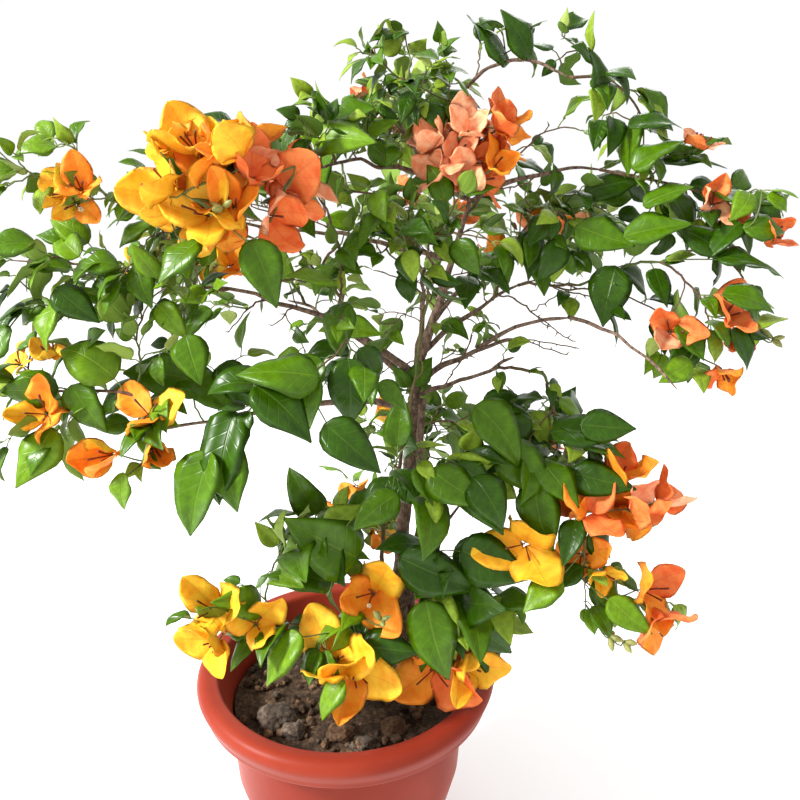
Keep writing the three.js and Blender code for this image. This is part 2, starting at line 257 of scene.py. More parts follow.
class Nodes:
    """Short calls for building a material's nodes."""

    def __init__(self, name):
        self.material = bpy.data.materials.new(name)
        self.material.use_nodes = True
        self.tree = self.material.node_tree
        self.shader = self.tree.nodes["Principled BSDF"]

    def put(self, socket, value):
        if isinstance(value, bpy.types.NodeSocket):
            self.tree.links.new(value, socket)
        else:
            socket.default_value = value

    def add(self, kind, output=0, settings=None, **inputs):
        node = self.tree.nodes.new(kind)
        for key, value in (settings or {}).items():
            setattr(node, key, value)
        for key, value in inputs.items():
            name = {"i0": 0, "i1": 1}.get(key, key.replace("_", " "))
            self.put(node.inputs[name], value)
        return node.outputs[output]

    def math(self, operation, a, b=0.5):
        return self.add("ShaderNodeMath", settings={"operation": operation}, i0=a, i1=b)

    def times(self, a, b):
        return self.math("MULTIPLY", a, b)

    def less(self, a, b):
        return self.math("SUBTRACT", a, b)

    def plus(self, a, b):
        return self.math("ADD", a, b)

    def stretched(self, place, height):
        return self.add("ShaderNodeMapping", Vector=place, Scale=(1.0, 1.0, height))

    def band(self, value, low, high, start=0.0, end=1.0):
        """A smooth step from start to end as value goes from low to high."""
        return self.add("ShaderNodeMapRange",
                        settings={"interpolation_type": "SMOOTHSTEP", "clamp": True},
                        Value=value, From_Min=low, From_Max=high, To_Min=start, To_Max=end)

    def mix(self, factor, a, b):
        node = self.tree.nodes.new("ShaderNodeMix")
        node.data_type = "RGBA"
        self.put(node.inputs[0], factor)
        self.put(node.inputs[6], a)
        self.put(node.inputs[7], b)
        return node.outputs[2]

    def noise(self, scale, detail=3.0, place=None, rough=0.55):
        inputs = {"Scale": scale, "Detail": detail, "Roughness": rough}
        if place is not None:
            inputs["Vector"] = place
        return self.add("ShaderNodeTexNoise", **inputs)

    def place(self):
        return self.add("ShaderNodeTexCoord", output=3)

    def bump(self, height, strength, distance):
        normal = self.add("ShaderNodeBump", Height=height, Strength=strength, Distance=distance)
        self.put(self.shader.inputs["Normal"], normal)

    def set(self, **inputs):
        for key, value in inputs.items():
            self.put(self.shader.inputs[key.replace("_", " ")], value)
        return self.material


PAINT = 0.64  # how much of a screen colour a surface reflects, so that the key lamp lifts it
GLOW_PAINT = 0.9  # the same for bracts, set higher as painted light: their lighter colour stands in for the light that shines through them


def rgb(red, green, blue, paint=PAINT):
    """A surface's colour from the 0 to 255 screen values that it has in full light."""
    linear = [(v / 255 / 12.92) if v <= 10 else ((v / 255 + 0.055) / 1.055) ** 2.4
              for v in (red, green, blue)]
    return (*[paint * v for v in linear], 1.0)


def scaled(colour, share):
    """A colour made darker or lighter, at most white."""
    return (*[min(1.0, share * v) for v in colour[:3]], 1.0)


def blade_uv(nodes):
    """(uv, under, across, along) of a leaf or bract. Its uv holds the top on the left half and
    the underside on the right half. Across is 0 at the midrib and 1 at the margin."""
    uv = nodes.add("ShaderNodeUVMap", settings={"uv_map": "OFBake"})
    split = nodes.tree.nodes.new("ShaderNodeSeparateXYZ")
    nodes.put(split.inputs[0], uv)
    under = nodes.math("GREATER_THAN", split.outputs[0], 0.5)
    local = nodes.math("FRACT", nodes.times(split.outputs[0], 2.0))
    across = nodes.math("ABSOLUTE", nodes.less(nodes.times(local, 2.0), 1.0))
    return uv, under, across, split.outputs[1]


def vein_mask(nodes, across, along, count, lean, width):
    """Side veins that leave the midrib and curve towards the tip."""
    swept = nodes.less(along, nodes.times(nodes.math("POWER", across, 0.8), lean))
    phase = nodes.math("FRACT", nodes.times(swept, float(count)))
    offset = nodes.math("ABSOLUTE", nodes.less(phase, 0.5))
    fade = nodes.band(across, 0.55, 1.0, 1.0, 0.25)
    return nodes.times(nodes.band(offset, 0.0, width, 1.0, 0.0), fade)


def leaf_material(name, top, vein, under, gloss):
    nodes = Nodes(name)
    uv, below, across, along = blade_uv(nodes)
    veins = vein_mask(nodes, across, along, 7, 0.24, 0.11)
    midrib = nodes.band(across, 0.015, 0.06, 1.0, 0.0)
    lines = nodes.math("MAXIMUM", midrib, nodes.times(veins, 0.38))
    blotch = nodes.noise(9.0, 4.0, uv)
    blade = nodes.mix(nodes.band(blotch, 0.35, 0.7), scaled(top, 0.72), top)
    margin = nodes.band(across, 0.9, 1.0, 0.0, 0.4)
    blade = nodes.mix(margin, blade, vein)
    upper = nodes.mix(nodes.times(lines, 0.22), blade, vein)
    lower = nodes.mix(nodes.times(lines, 0.5), under, scaled(under, 1.35))
    nodes.bump(nodes.less(1.0, lines), 0.45, 0.0007)
    rough = nodes.plus(nodes.times(below, 0.28), gloss)
    return nodes.set(Base_Color=nodes.mix(below, upper, lower), Roughness=rough,
                     Specular_IOR_Level=0.22)


def bract_material(name, base, edge, vein):
    nodes = Nodes(name)
    uv, below, across, along = blade_uv(nodes)
    veins = vein_mask(nodes, across, along, 6, 0.45, 0.1)
    midrib = nodes.band(across, 0.01, 0.07, 1.0, 0.0)
    lines = nodes.math("MAXIMUM", midrib, nodes.times(veins, 0.7))
    warm = nodes.band(nodes.noise(4.0, 3.0, uv), 0.35, 0.7)
    blade = nodes.mix(nodes.times(warm, 0.8), base, edge)
    foot = nodes.band(along, 0.0, 0.35, 0.5, 0.0)
    blade = nodes.mix(foot, blade, edge)
    colour = nodes.mix(nodes.times(lines, 0.24), blade, vein)
    nodes.bump(nodes.plus(nodes.times(lines, 0.6), nodes.noise(16.0, 4.0, uv)),
               0.35, 0.0008)
    return nodes.set(Base_Color=colour, Roughness=0.62, Specular_IOR_Level=0.3)


def bark_material(name, dark, light, green=None):
    nodes = Nodes(name)
    place = nodes.place()
    grain = nodes.noise(320.0, 6.0, nodes.stretched(place, 0.5), 0.65)
    patch = nodes.noise(38.0, 3.0, place)
    colour = nodes.mix(nodes.band(grain, 0.35, 0.68), dark, light)
    if green:
        colour = nodes.mix(nodes.band(patch, 0.42, 0.62, 0.0, 0.75), colour, green)
    spots = nodes.band(nodes.noise(900.0, 2.0, place), 0.66, 0.74)
    colour = nodes.mix(nodes.times(spots, 0.5), colour, light)
    nodes.bump(grain, 0.55, 0.0012)
    return nodes.set(Base_Color=colour, Roughness=0.82, Specular_IOR_Level=0.3)


def pot_material():
    nodes = Nodes("terracotta_plastic")
    place = nodes.place()
    cloud = nodes.noise(7.0, 4.0, place)
    fine = nodes.noise(260.0, 3.0, place)
    colour = nodes.mix(nodes.band(cloud, 0.3, 0.75), rgb(154, 52, 34), rgb(180, 70, 48))
    scuff = nodes.noise(60.0, 6.0, nodes.stretched(place, 4.0), 0.7)
    dust = nodes.band(scuff, 0.58, 0.8, 0.0, 0.2)
    colour = nodes.mix(dust, colour, rgb(206, 128, 92))
    nodes.bump(nodes.plus(fine, nodes.times(cloud, 2.0)), 0.12, 0.0006)
    rough = nodes.plus(0.4, nodes.times(dust, 0.9))
    return nodes.set(Base_Color=colour, Roughness=rough, Specular_IOR_Level=0.1)


def soil_material(name, dark, light):
    nodes = Nodes(name)
    place = nodes.place()
    crumbs = nodes.noise(230.0, 8.0, place, 0.7)
    patch = nodes.noise(34.0, 3.0, place)
    colour = nodes.mix(nodes.band(crumbs, 0.38, 0.66), dark, light)
    colour = nodes.mix(nodes.band(patch, 0.4, 0.62, 0.6, 0.0), colour, scaled(dark, 0.55))
    nodes.bump(crumbs, 0.8, 0.003)
    return nodes.set(Base_Color=colour, Roughness=0.92, Specular_IOR_Level=0.25)


def plain_material(name, colour, rough, bump_scale, depth):
    nodes = Nodes(name)
    grain = nodes.noise(bump_scale, 3.0, nodes.place())
    nodes.bump(grain, 0.3, depth)
    tone = nodes.mix(nodes.band(grain, 0.35, 0.7), scaled(colour, 0.75), colour)
    return nodes.set(Base_Color=tone, Roughness=rough)


# ------------------------------------------------------------------ limbs

THICK = ("trunk", "stem_twin")
STEMS = (*THICK, "stem_front")
MASSES = [name for name in NODES if name.startswith("mass_")]
LEAFY = [name for name in MASSES if "bloom" not in name]
BLOOMING = [name for name in MASSES if "bloom" in name]
AXIS = spot("trunk", (0.5, 0.5, 0.5))  # the plant faces out from here


def centre_line(name):
    """Points and radii down the middle of a limb's solid: the middles of cuts square to its long
    direction. A stem's run up from its foot, and a bough's run out from the trunk."""
    edges = np.array([edge.vertices[:] for edge in NODES[name].data.edges])
    points = points_of(name)
    centre = points.mean(0)
    chord = np.linalg.eigh(np.cov((points - centre).T))[1][:, 2]
    place = (points - centre) @ chord
    near, far = place[edges[:, 0]], place[edges[:, 1]]
    line, radii = [], []
    for cut in np.linspace(place.min() + MM, place.max() - MM, int(np.ptp(place) / (9 * MM)) + 3):
        crossed = (near - cut) * (far - cut) < 0
        if crossed.sum() < 3:
            continue
        share = ((cut - near[crossed]) / (far[crossed] - near[crossed]))[:, None]
        ring = points[edges[crossed, 0]] * (1 - share) + points[edges[crossed, 1]] * share
        middle = (ring.max(0) + ring.min(0)) / 2
        line.append(middle)
        radii.append(np.linalg.norm(ring - middle, axis=1).mean())
    line, radii = np.array(line), np.array(radii)
    ends = line[[0, -1]]
    order = ends[:, 2] if name in STEMS else np.linalg.norm((ends - AXIS)[:, :2], axis=1)
    if order[0] > order[1]:
        line, radii = line[::-1], radii[::-1]
    while len(line) > 5 and radii[-1] < 0.8 * radii[-2]:
        line, radii = line[:-1], radii[:-1]  # leaves out a slanting end
    inner = (line[:-2] + 2 * line[1:-1] + line[2:]) / 4
    line = np.concatenate([line[:1], inner, line[-1:]])
    return line, radii


LIMB_SIDES = 12
LIMB_STEP = 3.6 * MM
COARSE = 0.12  # height of a bough's ridges, as a share of its radius
TRUNK_COARSE = 0.16  # the same for the thick stems
FINE = 0.07  # the same for the grit on all bark


def bark_relief(path, coarse, fine, seed):
    """Ridges that run along a limb, knots, and the swollen places where leaves once sat."""
    def relief(ring, angles):
        x, y, z = path[ring]
        along = ring * 0.16
        out = np.empty(len(angles))
        for index, angle in enumerate(angles):
            c, s = math.cos(angle), math.sin(angle)
            ridge = noise.noise(Vector((2.2 * c + seed, 2.2 * s, along * 0.35)))
            lump = noise.noise(Vector((0.9 * c + seed, 0.9 * s, z * 90)))
            grit = noise.noise(Vector((5 * c + x * 300, 5 * s + y * 300, z * 420)))
            out[index] = 1 + coarse * (0.7 * ridge + lump) + fine * grit
        knot = max(0.0, math.sin(along * 0.9 + seed)) ** 10
        return out * (1 + 0.14 * knot)
    return relief


def bridge(batch, before, after, radius):
    """The stretch of a limb, between two solids, that the CAD model leaves out in a leaf mass."""
    points = [before[-3], before[-1], after[0], after[2]]
    path, radii = resample(points, np.full(4, radius), LIMB_STEP)
    add_tube(batch, path, radii, LIMB_SIDES, bark_relief(path, COARSE, FINE, 4.0))


def skin_limb(batch, name, sides, step):
    """Skins a limb, with its foot sunk in what it grows from, and returns its path and radii."""
    line, radii = centre_line(name)
    sunk = 6 * MM if name in STEMS else 3 * MM
    line = np.concatenate([[line[0] + unit(line[0] - line[1]) * sunk], line])
    radii = np.concatenate([radii[:1], radii])
    path, girth = resample(line, radii, step)
    thick = name in THICK
    if not thick:
        girth = girth * np.linspace(1.0, 0.6, len(girth))
        girth[-3:] *= np.array([0.9, 0.7, 0.45])
        wander = rng.normal(size=(len(path) // 5 + 2, 3)) * 1.1 * MM
        knots = np.linspace(0, len(path) - 1, len(wander))
        wander[0] = wander[-1] = 0
        steps = np.arange(len(path))
        path = path + np.stack([np.interp(steps, knots, wander[:, k]) for k in range(3)], 1)
    add_tube(batch, path, girth, sides,
             bark_relief(path, TRUNK_COARSE if thick else COARSE, FINE, len(name) * 1.7))
    return path, girth


# ------------------------------------------------------------------ the growing skeleton

class Wood:
    """Nodes of the branching skeleton: where each is, the way it grows and what it grew from."""

    def __init__(self, room=40000):
        self.at = np.zeros((room, 3))
        self.way = np.zeros((room, 3))
        self.parent = np.full(room, -1)
        self.limit = np.full(room, 2.2 * MM)
        self.bare = np.zeros(room, bool)
        self.count = 0
        self.shoots = []
        self.greens = []

    def chain(self, path, parent, limits=None):
        """Adds a path of nodes that grow from a parent node, and returns their numbers."""
        start = self.count
        ways = unit(np.gradient(path, axis=0))
        for index, (point, way) in enumerate(zip(path, ways)):
            self.at[self.count] = point
            self.way[self.count] = way
            self.parent[self.count] = parent if index == 0 else self.count - 1
            if limits is not None:
                self.limit[self.count] = limits[index]
            self.count += 1
        return list(range(start, self.count))

    def sprout(self, path, root, green):
        """Adds a shoot on a path that starts at its root."""
        shoot = self.chain(path[1:], root)
        self.shoots.append(shoot)
        self.greens.append(green)
        return shoot

    def nearest(self, target):
        """The node from which a shoot reaches the target with the least length and turning."""
        at, way = self.at[:self.count], self.way[:self.count]
        gap = target - at
        length = np.linalg.norm(gap, axis=1) + 1e-6
        turn = np.sum(gap * way, axis=1) / length
        cost = length * (1.3 - 0.55 * turn)
        cost[length < 9 * MM] = 9
        cost[self.bare[:self.count]] += 9
        return int(np.argmin(cost))

    def girths(self):
        """Radii by the load that each node carries, so that a twig thickens towards its foot."""
        load = np.zeros(self.count)
        for shoot in self.shoots:
            load[shoot[-1]] += 1
        for node in range(self.count - 1, -1, -1):
            if self.parent[node] >= 0:
                load[self.parent[node]] += load[node]
        return np.minimum(0.6 * MM * np.maximum(load, 1) ** 0.3, self.limit[:self.count] * 0.8)


def bezier(a, b, c, d, count):
    t = np.linspace(0, 1, count)[:, None]
    return (1 - t)**3 * a + 3 * (1 - t)**2 * t * b + 3 * (1 - t) * t**2 * c + t**3 * d


def shoot_path(root, target, droop):
    """An arching shoot from a node to a target, with a slight zigzag."""
    start = wood.at[root]
    gap = target - start
    length = np.linalg.norm(gap)
    lead = unit(0.55 * wood.way[root] + unit(gap) + (0.35 - 0.2 * droop) * UP)
    end = unit(unit(gap) - droop * 0.8 * UP + 0.25 * rng.normal(size=3))
    bend = 0.36 * length
    count = max(4, int(length / (5 * MM)) + 1)
    path = bezier(start, start + lead * bend, target - end * bend, target, count)
    kinks = np.zeros_like(path)
    kinks[1:-1] = rng.normal(size=(count - 2, 3)) * 0.6 * MM
    return path + kinks


class Solid:
    """A leaf mass's solid, for asking what lies in it."""

    def __init__(self, name):
        self.low, self.high = corners(name)
        self.centre = points_of(name).mean(0)
        mesh = NODES[name].data
        self.tree = BVHTree.FromPolygons(
            [v.co[:] for v in mesh.vertices], [p.vertices[:] for p in mesh.polygons])

    def depth(self, point):
        """How far inside the solid a point is; below 0 outside."""
        place, normal, _, gap = self.tree.find_nearest(Vector(point))
        inside = (place - Vector(point)).dot(normal) > 0
        return gap if inside else -gap

    def scatter(self, count, margin, spread=14):
        """Points in the solid, each as far as can be from the others."""
        chosen = []
        while len(chosen) < count:
            best, widest = None, -1.0
            for _ in range(spread):
                point = rng.uniform(self.low, self.high)
                if self.depth(point) < margin:
                    continue
                gap = min([np.linalg.norm(point - other) for other in chosen], default=1.0)
                if gap > widest:
                    best, widest = point, gap
            if best is not None:
                chosen.append(best)
        return chosen


# ------------------------------------------------------------------ leaves and bracts

class Blade:
    """A thin closed blade: a grid of points for its top and one for its underside, which meet
    at the margin."""

    def __init__(self, rows, columns, outline):
        self.t = np.array(rows)
        self.s = np.linspace(-1, 1, columns)
        self.outline = outline(self.t)
        count = len(rows) * columns
        grid = np.arange(count).reshape(len(rows), columns)
        under = grid.copy()
        inner = under[1:-1, 1:-1]
        inner[:] = count + np.arange(inner.size).reshape(inner.shape)
        self.inner = grid[1:-1, 1:-1].ravel()
        top_faces, under_faces, top_uv, under_uv = [], [], [], []
        for r in range(len(rows) - 1):
            for c in range(columns - 1):
                ring = [(r, c), (r + 1, c), (r + 1, c + 1), (r, c + 1)]
                back = [ring[0], ring[3], ring[2], ring[1]]  # split along the same diagonal
                top_faces.append([grid[k] for k in ring])
                under_faces.append([under[k] for k in back])
                top_uv += [self.uv(k, 0.0) for k in ring]
                under_uv += [self.uv(k, 0.5) for k in back]
        self.faces = np.array(top_faces + under_faces)
        self.uvs = np.array(top_uv + under_uv)
        self.size = count + self.inner.size

    def uv(self, key, shift):
        row, column = key
        return (shift + 0.02 + 0.46 * (self.s[column] + 1) / 2, 0.02 + 0.96 * self.t[row])

    def shape(self, form, sunk):
        """Local points of many blades: x along, y across, z up, sunk by a thickness. form holds
        an array for each measure: length, width, rise, curl, fold, edge, wave, twist, phase and
        sweep, which carries the tip to one side."""
        get = {key: np.asarray(value, float)[:, None, None] for key, value in form.items()}
        t, s = self.t[None, :, None], self.s[None, None, :]
        pitch = get["rise"] - get["curl"] * t ** 1.2
        steps = np.diff(self.t, prepend=0)[None, :, None] * get["length"]
        x = np.cumsum(np.cos(pitch) * steps, axis=1)
        z = np.cumsum(np.sin(pitch) * steps, axis=1)
        half = get["width"] * self.outline[None, :, None]
        reach = np.abs(s)
        y = s * half * np.cos(get["fold"])
        lift = reach * half * np.sin(get["fold"]) - get["edge"] * half * reach ** 3
        ripple = np.sin(2 * math.pi * 1.6 * t + get["phase"] + 1.3 * np.sign(s))
        lift = lift + get["wave"] * half * reach ** 2 * ripple - sunk
        turn = get["twist"] * t
        y, lift = y * np.cos(turn) - lift * np.sin(turn), y * np.sin(turn) + lift * np.cos(turn)
        y = y + get["sweep"] * get["length"] * t ** 2
        shape = np.stack([x - lift * np.sin(pitch), y, z + lift * np.cos(pitch)], axis=-1)
        return shape.reshape(len(shape), -1, 3)

    def place(self, form, base, way, normal, thick):
        """World points of many blades, tops then undersides."""
        local = np.concatenate([self.shape(form, 0), self.shape(form, thick)[:, self.inner]], 1)
        side = np.cross(normal, way)
        return (base[:, None, :] + local[..., :1] * way[:, None, :]
                + local[..., 1:2] * side[:, None, :] + local[..., 2:] * normal[:, None, :])


def leaf_outline(t):
    """Half width along a leaf: round at the foot, broadest below the middle, drawn to a tip."""
    return 0.04 + 0.96 * np.maximum(t, 0) ** 0.6 * (1 - t) ** 1.24 / 0.3136


def bract_outline(t):
    """Half width along a bract: it widens faster than a leaf, is broadest nearer the middle and
    has a shorter tip."""
    return 0.05 + 0.95 * np.maximum(t, 0) ** 0.5 * (1 - t) ** 0.72 / 0.419


# lowest and highest of each measure of a blade, then how much its twist and its sweep vary
MEASURES = ("width", "rise", "curl", "fold", "edge", "wave")
GROWN_LEAF = ((0.29, 0.35), (0.15, 0.6), (0.5, 1.5), (0.08, 0.45), (0.05, 0.35), (0.05, 0.2),
              0.3, 0.1)
LARGE_LEAF = ((0.3, 0.36), (0.1, 0.4), (0.3, 1.0), (0.15, 0.48), (0.1, 0.38), (0.08, 0.22),
              0.24, 0.1)
PAPERY = ((0.38, 0.48), (-0.65, -0.2), (-1.3, 0.2), (0.15, 0.6), (-0.1, 0.45), (0.1, 0.3),
          0.35, 0.06)


def random_form(length, ranges):
    """A blade's measures drawn from their ranges, with its width given as a share of its length."""
    *spans, twist, sweep = ranges
    form = {name: rng.uniform(*span) for name, span in zip(MEASURES, spans)}
    form["width"] *= length
    form.update(length=length, twist=rng.normal() * twist, phase=rng.uniform(0, TURN),
                sweep=rng.normal() * sweep)
    return form


LEAF = Blade([0, 0.04, 0.12, 0.23, 0.35, 0.48, 0.61, 0.74, 0.86, 0.95, 1.0], 7, leaf_outline)
BRACT = Blade([0, 0.05, 0.14, 0.27, 0.41, 0.55, 0.69, 0.81, 0.91, 0.97, 1.0], 9, bract_outline)
BLADES_IN_PIECE = 600  # keeps a piece under 200,000 triangles


class BladeBatch:
    """Blades of one colour, gathered and then joined into a few meshes."""

    def __init__(self, name, blade, material, slot):
        self.name, self.blade = name, blade
        self.material, self.slot = material, slot
        self.rows = []

    def add(self, base, way, normal, form):
        self.rows.append((base, way, normal, form))

    def build(self, thick, replaces):
        parts = math.ceil(len(self.rows) / BLADES_IN_PIECE)
        for part in range(parts):
            self.build_piece("%s_%d" % (self.name, part + 1), self.rows[part::parts], thick,
                             replaces)

    def build_piece(self, name, rows, thick, replaces):
        base, way, normal = (np.array([row[i] for row in rows]) for i in range(3))
        form = {key: [row[3][key] for row in rows] for key in rows[0][3]}
        points = self.blade.place(form, base, unit(way), square_to(normal, unit(way)), thick)
        count = len(rows)
        faces = self.blade.faces[None] + np.arange(count)[:, None, None] * self.blade.size
        make_piece(name, points.reshape(-1, 3), faces.reshape(-1, 4).tolist(), self.material,
                   self.slot, replaces, np.tile(self.blade.uvs, (count, 1)))


# ------------------------------------------------------------------ colours of the plant

# tint, then the colours of the top, the veins and the underside, and the roughness
# The bright tint is partly the leaves' own paler green and partly painted light: it stands in for
# light that shines through backlit leaves.
LEAF_TINTS = """
deep    58 98 2     110 148 40   108 144 48   0.3
mid     88 132 4    142 176 50   132 164 58   0.32
bright  122 166 16  172 204 76   156 190 82   0.36
young   158 190 48  194 214 102  178 200 100  0.45
"""
# tint, then the colours of the middle, the foot and patches, and the veins
# The peach tint is partly the bracts' own paler colour and partly a painted highlight on the salmon
# bracts.
BRACT_TINTS = """
yellow  250 198 44   244 150 20  222 124 18
orange  248 160 40   242 118 20  212 90 20
salmon  246 138 70   236 88 28   198 72 40
peach   252 188 142  240 118 66  214 98 66
"""

leaves, bracts = {}, {}
for tint, *tones, gloss in table(LEAF_TINTS):
    colours = [rgb(*tones[i:i + 3]) for i in (0, 3, 6)]
    leaves[tint] = BladeBatch("leaves_" + tint, LEAF, leaf_material("leaf_" + tint, *colours, gloss),
                              "leaf")
# bract colours are lifted by painted light, which stands in for the light that shines through them
for tint, *tones in table(BRACT_TINTS):
    colours = [rgb(*tones[i:i + 3], GLOW_PAINT) for i in (0, 3, 6)]
    bracts[tint] = BladeBatch("bracts_" + tint, BRACT, bract_material("bract_" + tint, *colours),
                              "bract")
twigs_brown = Batch("twigs_brown")
twigs_green = Batch("twigs_green")
stalks = Batch("leaf_stalks")
thorns = Batch("thorns")
flower_tubes = Batch("flower_tubes")
flower_stars = Batch("flower_stars")
buds = Batch("flower_buds")


# ------------------------------------------------------------------ limbs, skinned

LIMB_GROUPS = {
    "trunk_skin": ("trunk", "stem_twin"),
    "stem_front_skin": ("stem_front",),
    "boughs_left_skin": ("bough_left_low", "bough_left", "bough_left_rise", "bough_cross"),
    "boughs_top_skin": ("bough_main", "bough_top_left", "bough_top", "bough_right_up",
                        "arch_rise", "arch_fall"),
    "boughs_right_skin": ("bough_pruned", "bough_stub", "bough_inner", "droop_rise",
                          "droop_fall"),
    "boughs_back_skin": ("bough_back", "bough_back_left", "bough_back_right"),
    "boughs_low_skin": ("bough_low_right", "bough_low_left", "bough_low_back"),
}
BARK = bark_material("bark", rgb(92, 70, 58), rgb(172, 142, 120))
YOUNG_BARK = bark_material("young_bark", rgb(96, 76, 52), rgb(150, 126, 88), rgb(112, 122, 62))

BARE = ("droop_rise", "droop_fall")  # shoots don't grow from these

wood = Wood()
limb_paths, limb_ends = {}, {}
for group, names in LIMB_GROUPS.items():
    skin = Batch(group)
    for name in names:
        sides, step = (22, 3 * MM) if name in THICK else (LIMB_SIDES, LIMB_STEP)
        path, girth = skin_limb(skin, name, sides, step)
        limb = wood.chain(path[::2], -1, girth[::2] * 0.9)
        wood.bare[limb] = name in BARE
        limb_paths[name], limb_ends[name] = path, limb[-1]
    if group == "boughs_top_skin":
        bridge(skin, limb_paths["arch_rise"], limb_paths["arch_fall"], 1.4 * MM)
    green = group == "stem_front_skin"
    skin.build(YOUNG_BARK if green else BARK, "green_wood" if green else "bark", names)


# ------------------------------------------------------------------ foliage

LIGHT_WAY = unit(np.array([-0.45, -0.55, 0.8]))
GOLDEN = math.radians(137.5)

class Habit(typing.NamedTuple):
    """How a shoot grows: leaf length and gap between leaves in mm, droop of shoots and leaves,
    share of green shoots, and how many of 10 leaves are deep, mid, bright and young."""
    size: float
    gap: float
    droop: float
    green: float
    tints: list


def habit_of(size, gap, droop, green, tints):
    """A habit from a table, which gives the numbers of leaves as the digits of one number."""
    return Habit(size, gap, droop, green, [int(digit) for digit in "%04d" % tints])


# mass, number of shoots, and their habit
HABITS = {mass: (int(count), habit_of(*habit)) for mass, count, *habit in table("""
top 24 38 13 0.6 0.5 3421
top_left 12 42 15 0.6 0.5 2431
top_bloom 3 34 16 0.3 0.5 4420
arch_top 6 44 19 0.5 0.3 6400
arch_end 7 46 18 0.8 0.3 6400
centre_up 12 46 16 0.5 0.3 3520
bloom_left 4 44 17 0.5 0.5 3520
tip_left 8 34 13 0.2 0.9 0352
left_mid 27 45 15 0.5 0.7 2530
left_outer 9 52 17 0.8 0.6 1540
left_bloom_low 5 48 19 0.7 0.5 1540
left_inner 2 54 18 0.6 0.4 3520
left_hang 1 66 26 1.3 0.5 7300
front 3 60 22 0.7 0.4 5500
right_mid 12 54 17 0.7 0.3 5410
right_up 7 54 18 0.7 0.4 4510
right_far 4 46 17 0.7 0.4 4510
right_low 10 48 17 0.7 0.5 4420
centre_low 11 64 18 0.7 0.4 5410
right_lower 15 68 19 0.7 0.4 6400
bloom_right 3 48 18 0.7 0.5 4420
hang_right 7 46 17 0.9 0.7 2440
low_front 11 78 21 0.7 0.5 7300
low_left 7 72 20 0.6 0.5 3520
low_bloom_left 3 48 18 0.6 0.6 2530
low_bloom_front 5 54 18 0.7 0.6 2530
""")}
BACK_HABIT = (20, habit_of(52, 16, 0.6, 0.4, 3520))
TINTS = tuple(leaves)

# clusters of blooms that leave little room for leaves
CROWDED = ("mass_bloom_left", "mass_top_bloom", "mass_bloom_right")
CLOSE = -8 * MM  # a point this little outside a mass still counts as in it


def crowded(point):
    return any(solids[name].depth(point) > CLOSE for name in CROWDED)


def pick(weights):
    """A random leaf tint."""
    share = np.array(weights, float) / sum(weights)
    return TINTS[int(rng.choice(len(TINTS), p=share))]


def outward_of(point):
    """The level way out from the plant's axis."""
    return unit((point - AXIS) * np.array([1, 1, 0]))


def facing_of(point):
    """The way a leaf turns its face: up, out from the plant and, at the front, to the light."""
    front = 0.25 + 0.75 * smoothstep(0.12, -0.06, point[1])
    return unit(0.45 * UP + 0.6 * outward_of(point) + 0.85 * front * LIGHT_WAY)


def add_leaf(node_at, way, side, length, droop, tint):
    """A leaf on its stalk: the blade lies across the light and its tip hangs."""
    outward = outward_of(node_at)
    lead = unit(0.4 * way + 0.85 * side + 0.45 * outward + (0.2 - 0.4 * droop) * UP)
    stalk = (0.18 + 0.08 * rng.random()) * length
    foot = node_at + lead * stalk + UP * stalk * 0.12
    blade_way = unit(lead - (0.12 + 0.4 * droop) * UP + 0.2 * rng.normal(size=3))
    normal = facing_of(node_at) + 0.3 * rng.normal(size=3)
    middle = (node_at + foot) / 2 + UP * stalk * 0.14
    path = np.array([node_at, middle, foot + blade_way * length * 0.04])
    tip = foot + blade_way * length
    if np.any(tip < CAD_BOX[0] - OVERHANG) or np.any(tip > CAD_BOX[1] + OVERHANG):
        return
    add_tube(stalks, path, np.array([0.6, 0.5, 0.55]) * MM, 5)
    leaves[tint].add(foot, blade_way, normal, random_form(length, GROWN_LEAF))


def add_thorn(at, way, side):
    tip = at + unit(side + 0.35 * way) * rng.uniform(4, 8) * MM
    path = np.array([at, (at + tip) / 2 - 0.3 * MM * UP, tip])
    add_tube(thorns, path, np.array([0.75, 0.45, 0.08]) * MM, 5)


def dress(shoot, solid, habit):
    """Leaves, thorns and a young tip along one shoot, where it lies in its mass."""
    size, gap, droop, _, weights = habit
    path = wood.at[shoot]
    if len(path) < 3:
        return
    ways = unit(np.gradient(path, axis=0))
    place = travelled(path)
    turn = rng.uniform(0, TURN)
    family = pick(weights)
    along = gap * MM * rng.uniform(0.4, 1.0)
    while along < place[-1]:
        at = np.array([np.interp(along, place, path[:, axis]) for axis in range(3)])
        way = ways[min(int(np.searchsorted(place, along)), len(ways) - 1)]
        right = square_to(np.array([0.31, 0.17, 0.93]), way)
        side = spoke(turn, right, np.cross(way, right))
        leafy = solid is None or solid.depth(at) > CLOSE
        hidden = crowded(at) and rng.random() < 0.75
        if leafy and not hidden:
            tint = family if rng.random() < 0.6 else pick(weights)
            grown = 0.7 + 0.3 * min(1.0, (place[-1] - along) / (size * MM))
            length = size * MM * grown * rng.triangular(0.6, 0.95, 1.3)
            add_leaf(at, way, side, length, droop, tint)
        if rng.random() < (0.15 if leafy else 0.5):
            add_thorn(at, way, -side)
        along += gap * MM * rng.uniform(0.8, 1.2)
        turn += GOLDEN
    tip, way = path[-1], ways[-1]
    right = square_to(np.array([0.2, 0.9, 0.1]), way)
    for index in range(0 if crowded(tip) else 2):
        side = spoke(turn + index * GOLDEN, right, np.cross(way, right))
        tint = "young" if rng.random() < 0.3 else family
        add_leaf(tip, way, 0.6 * side + 0.6 * way, size * MM * rng.uniform(0.35, 0.65),
                 droop * 0.5, tint)


def add_shoot(target, solid, habit):
    """One leafy shoot to a target, from the best place on the wood."""
    root = wood.nearest(target)
    path = shoot_path(root, target, habit.droop)
    dress(wood.sprout(path, root, rng.random() < habit.green), solid, habit)


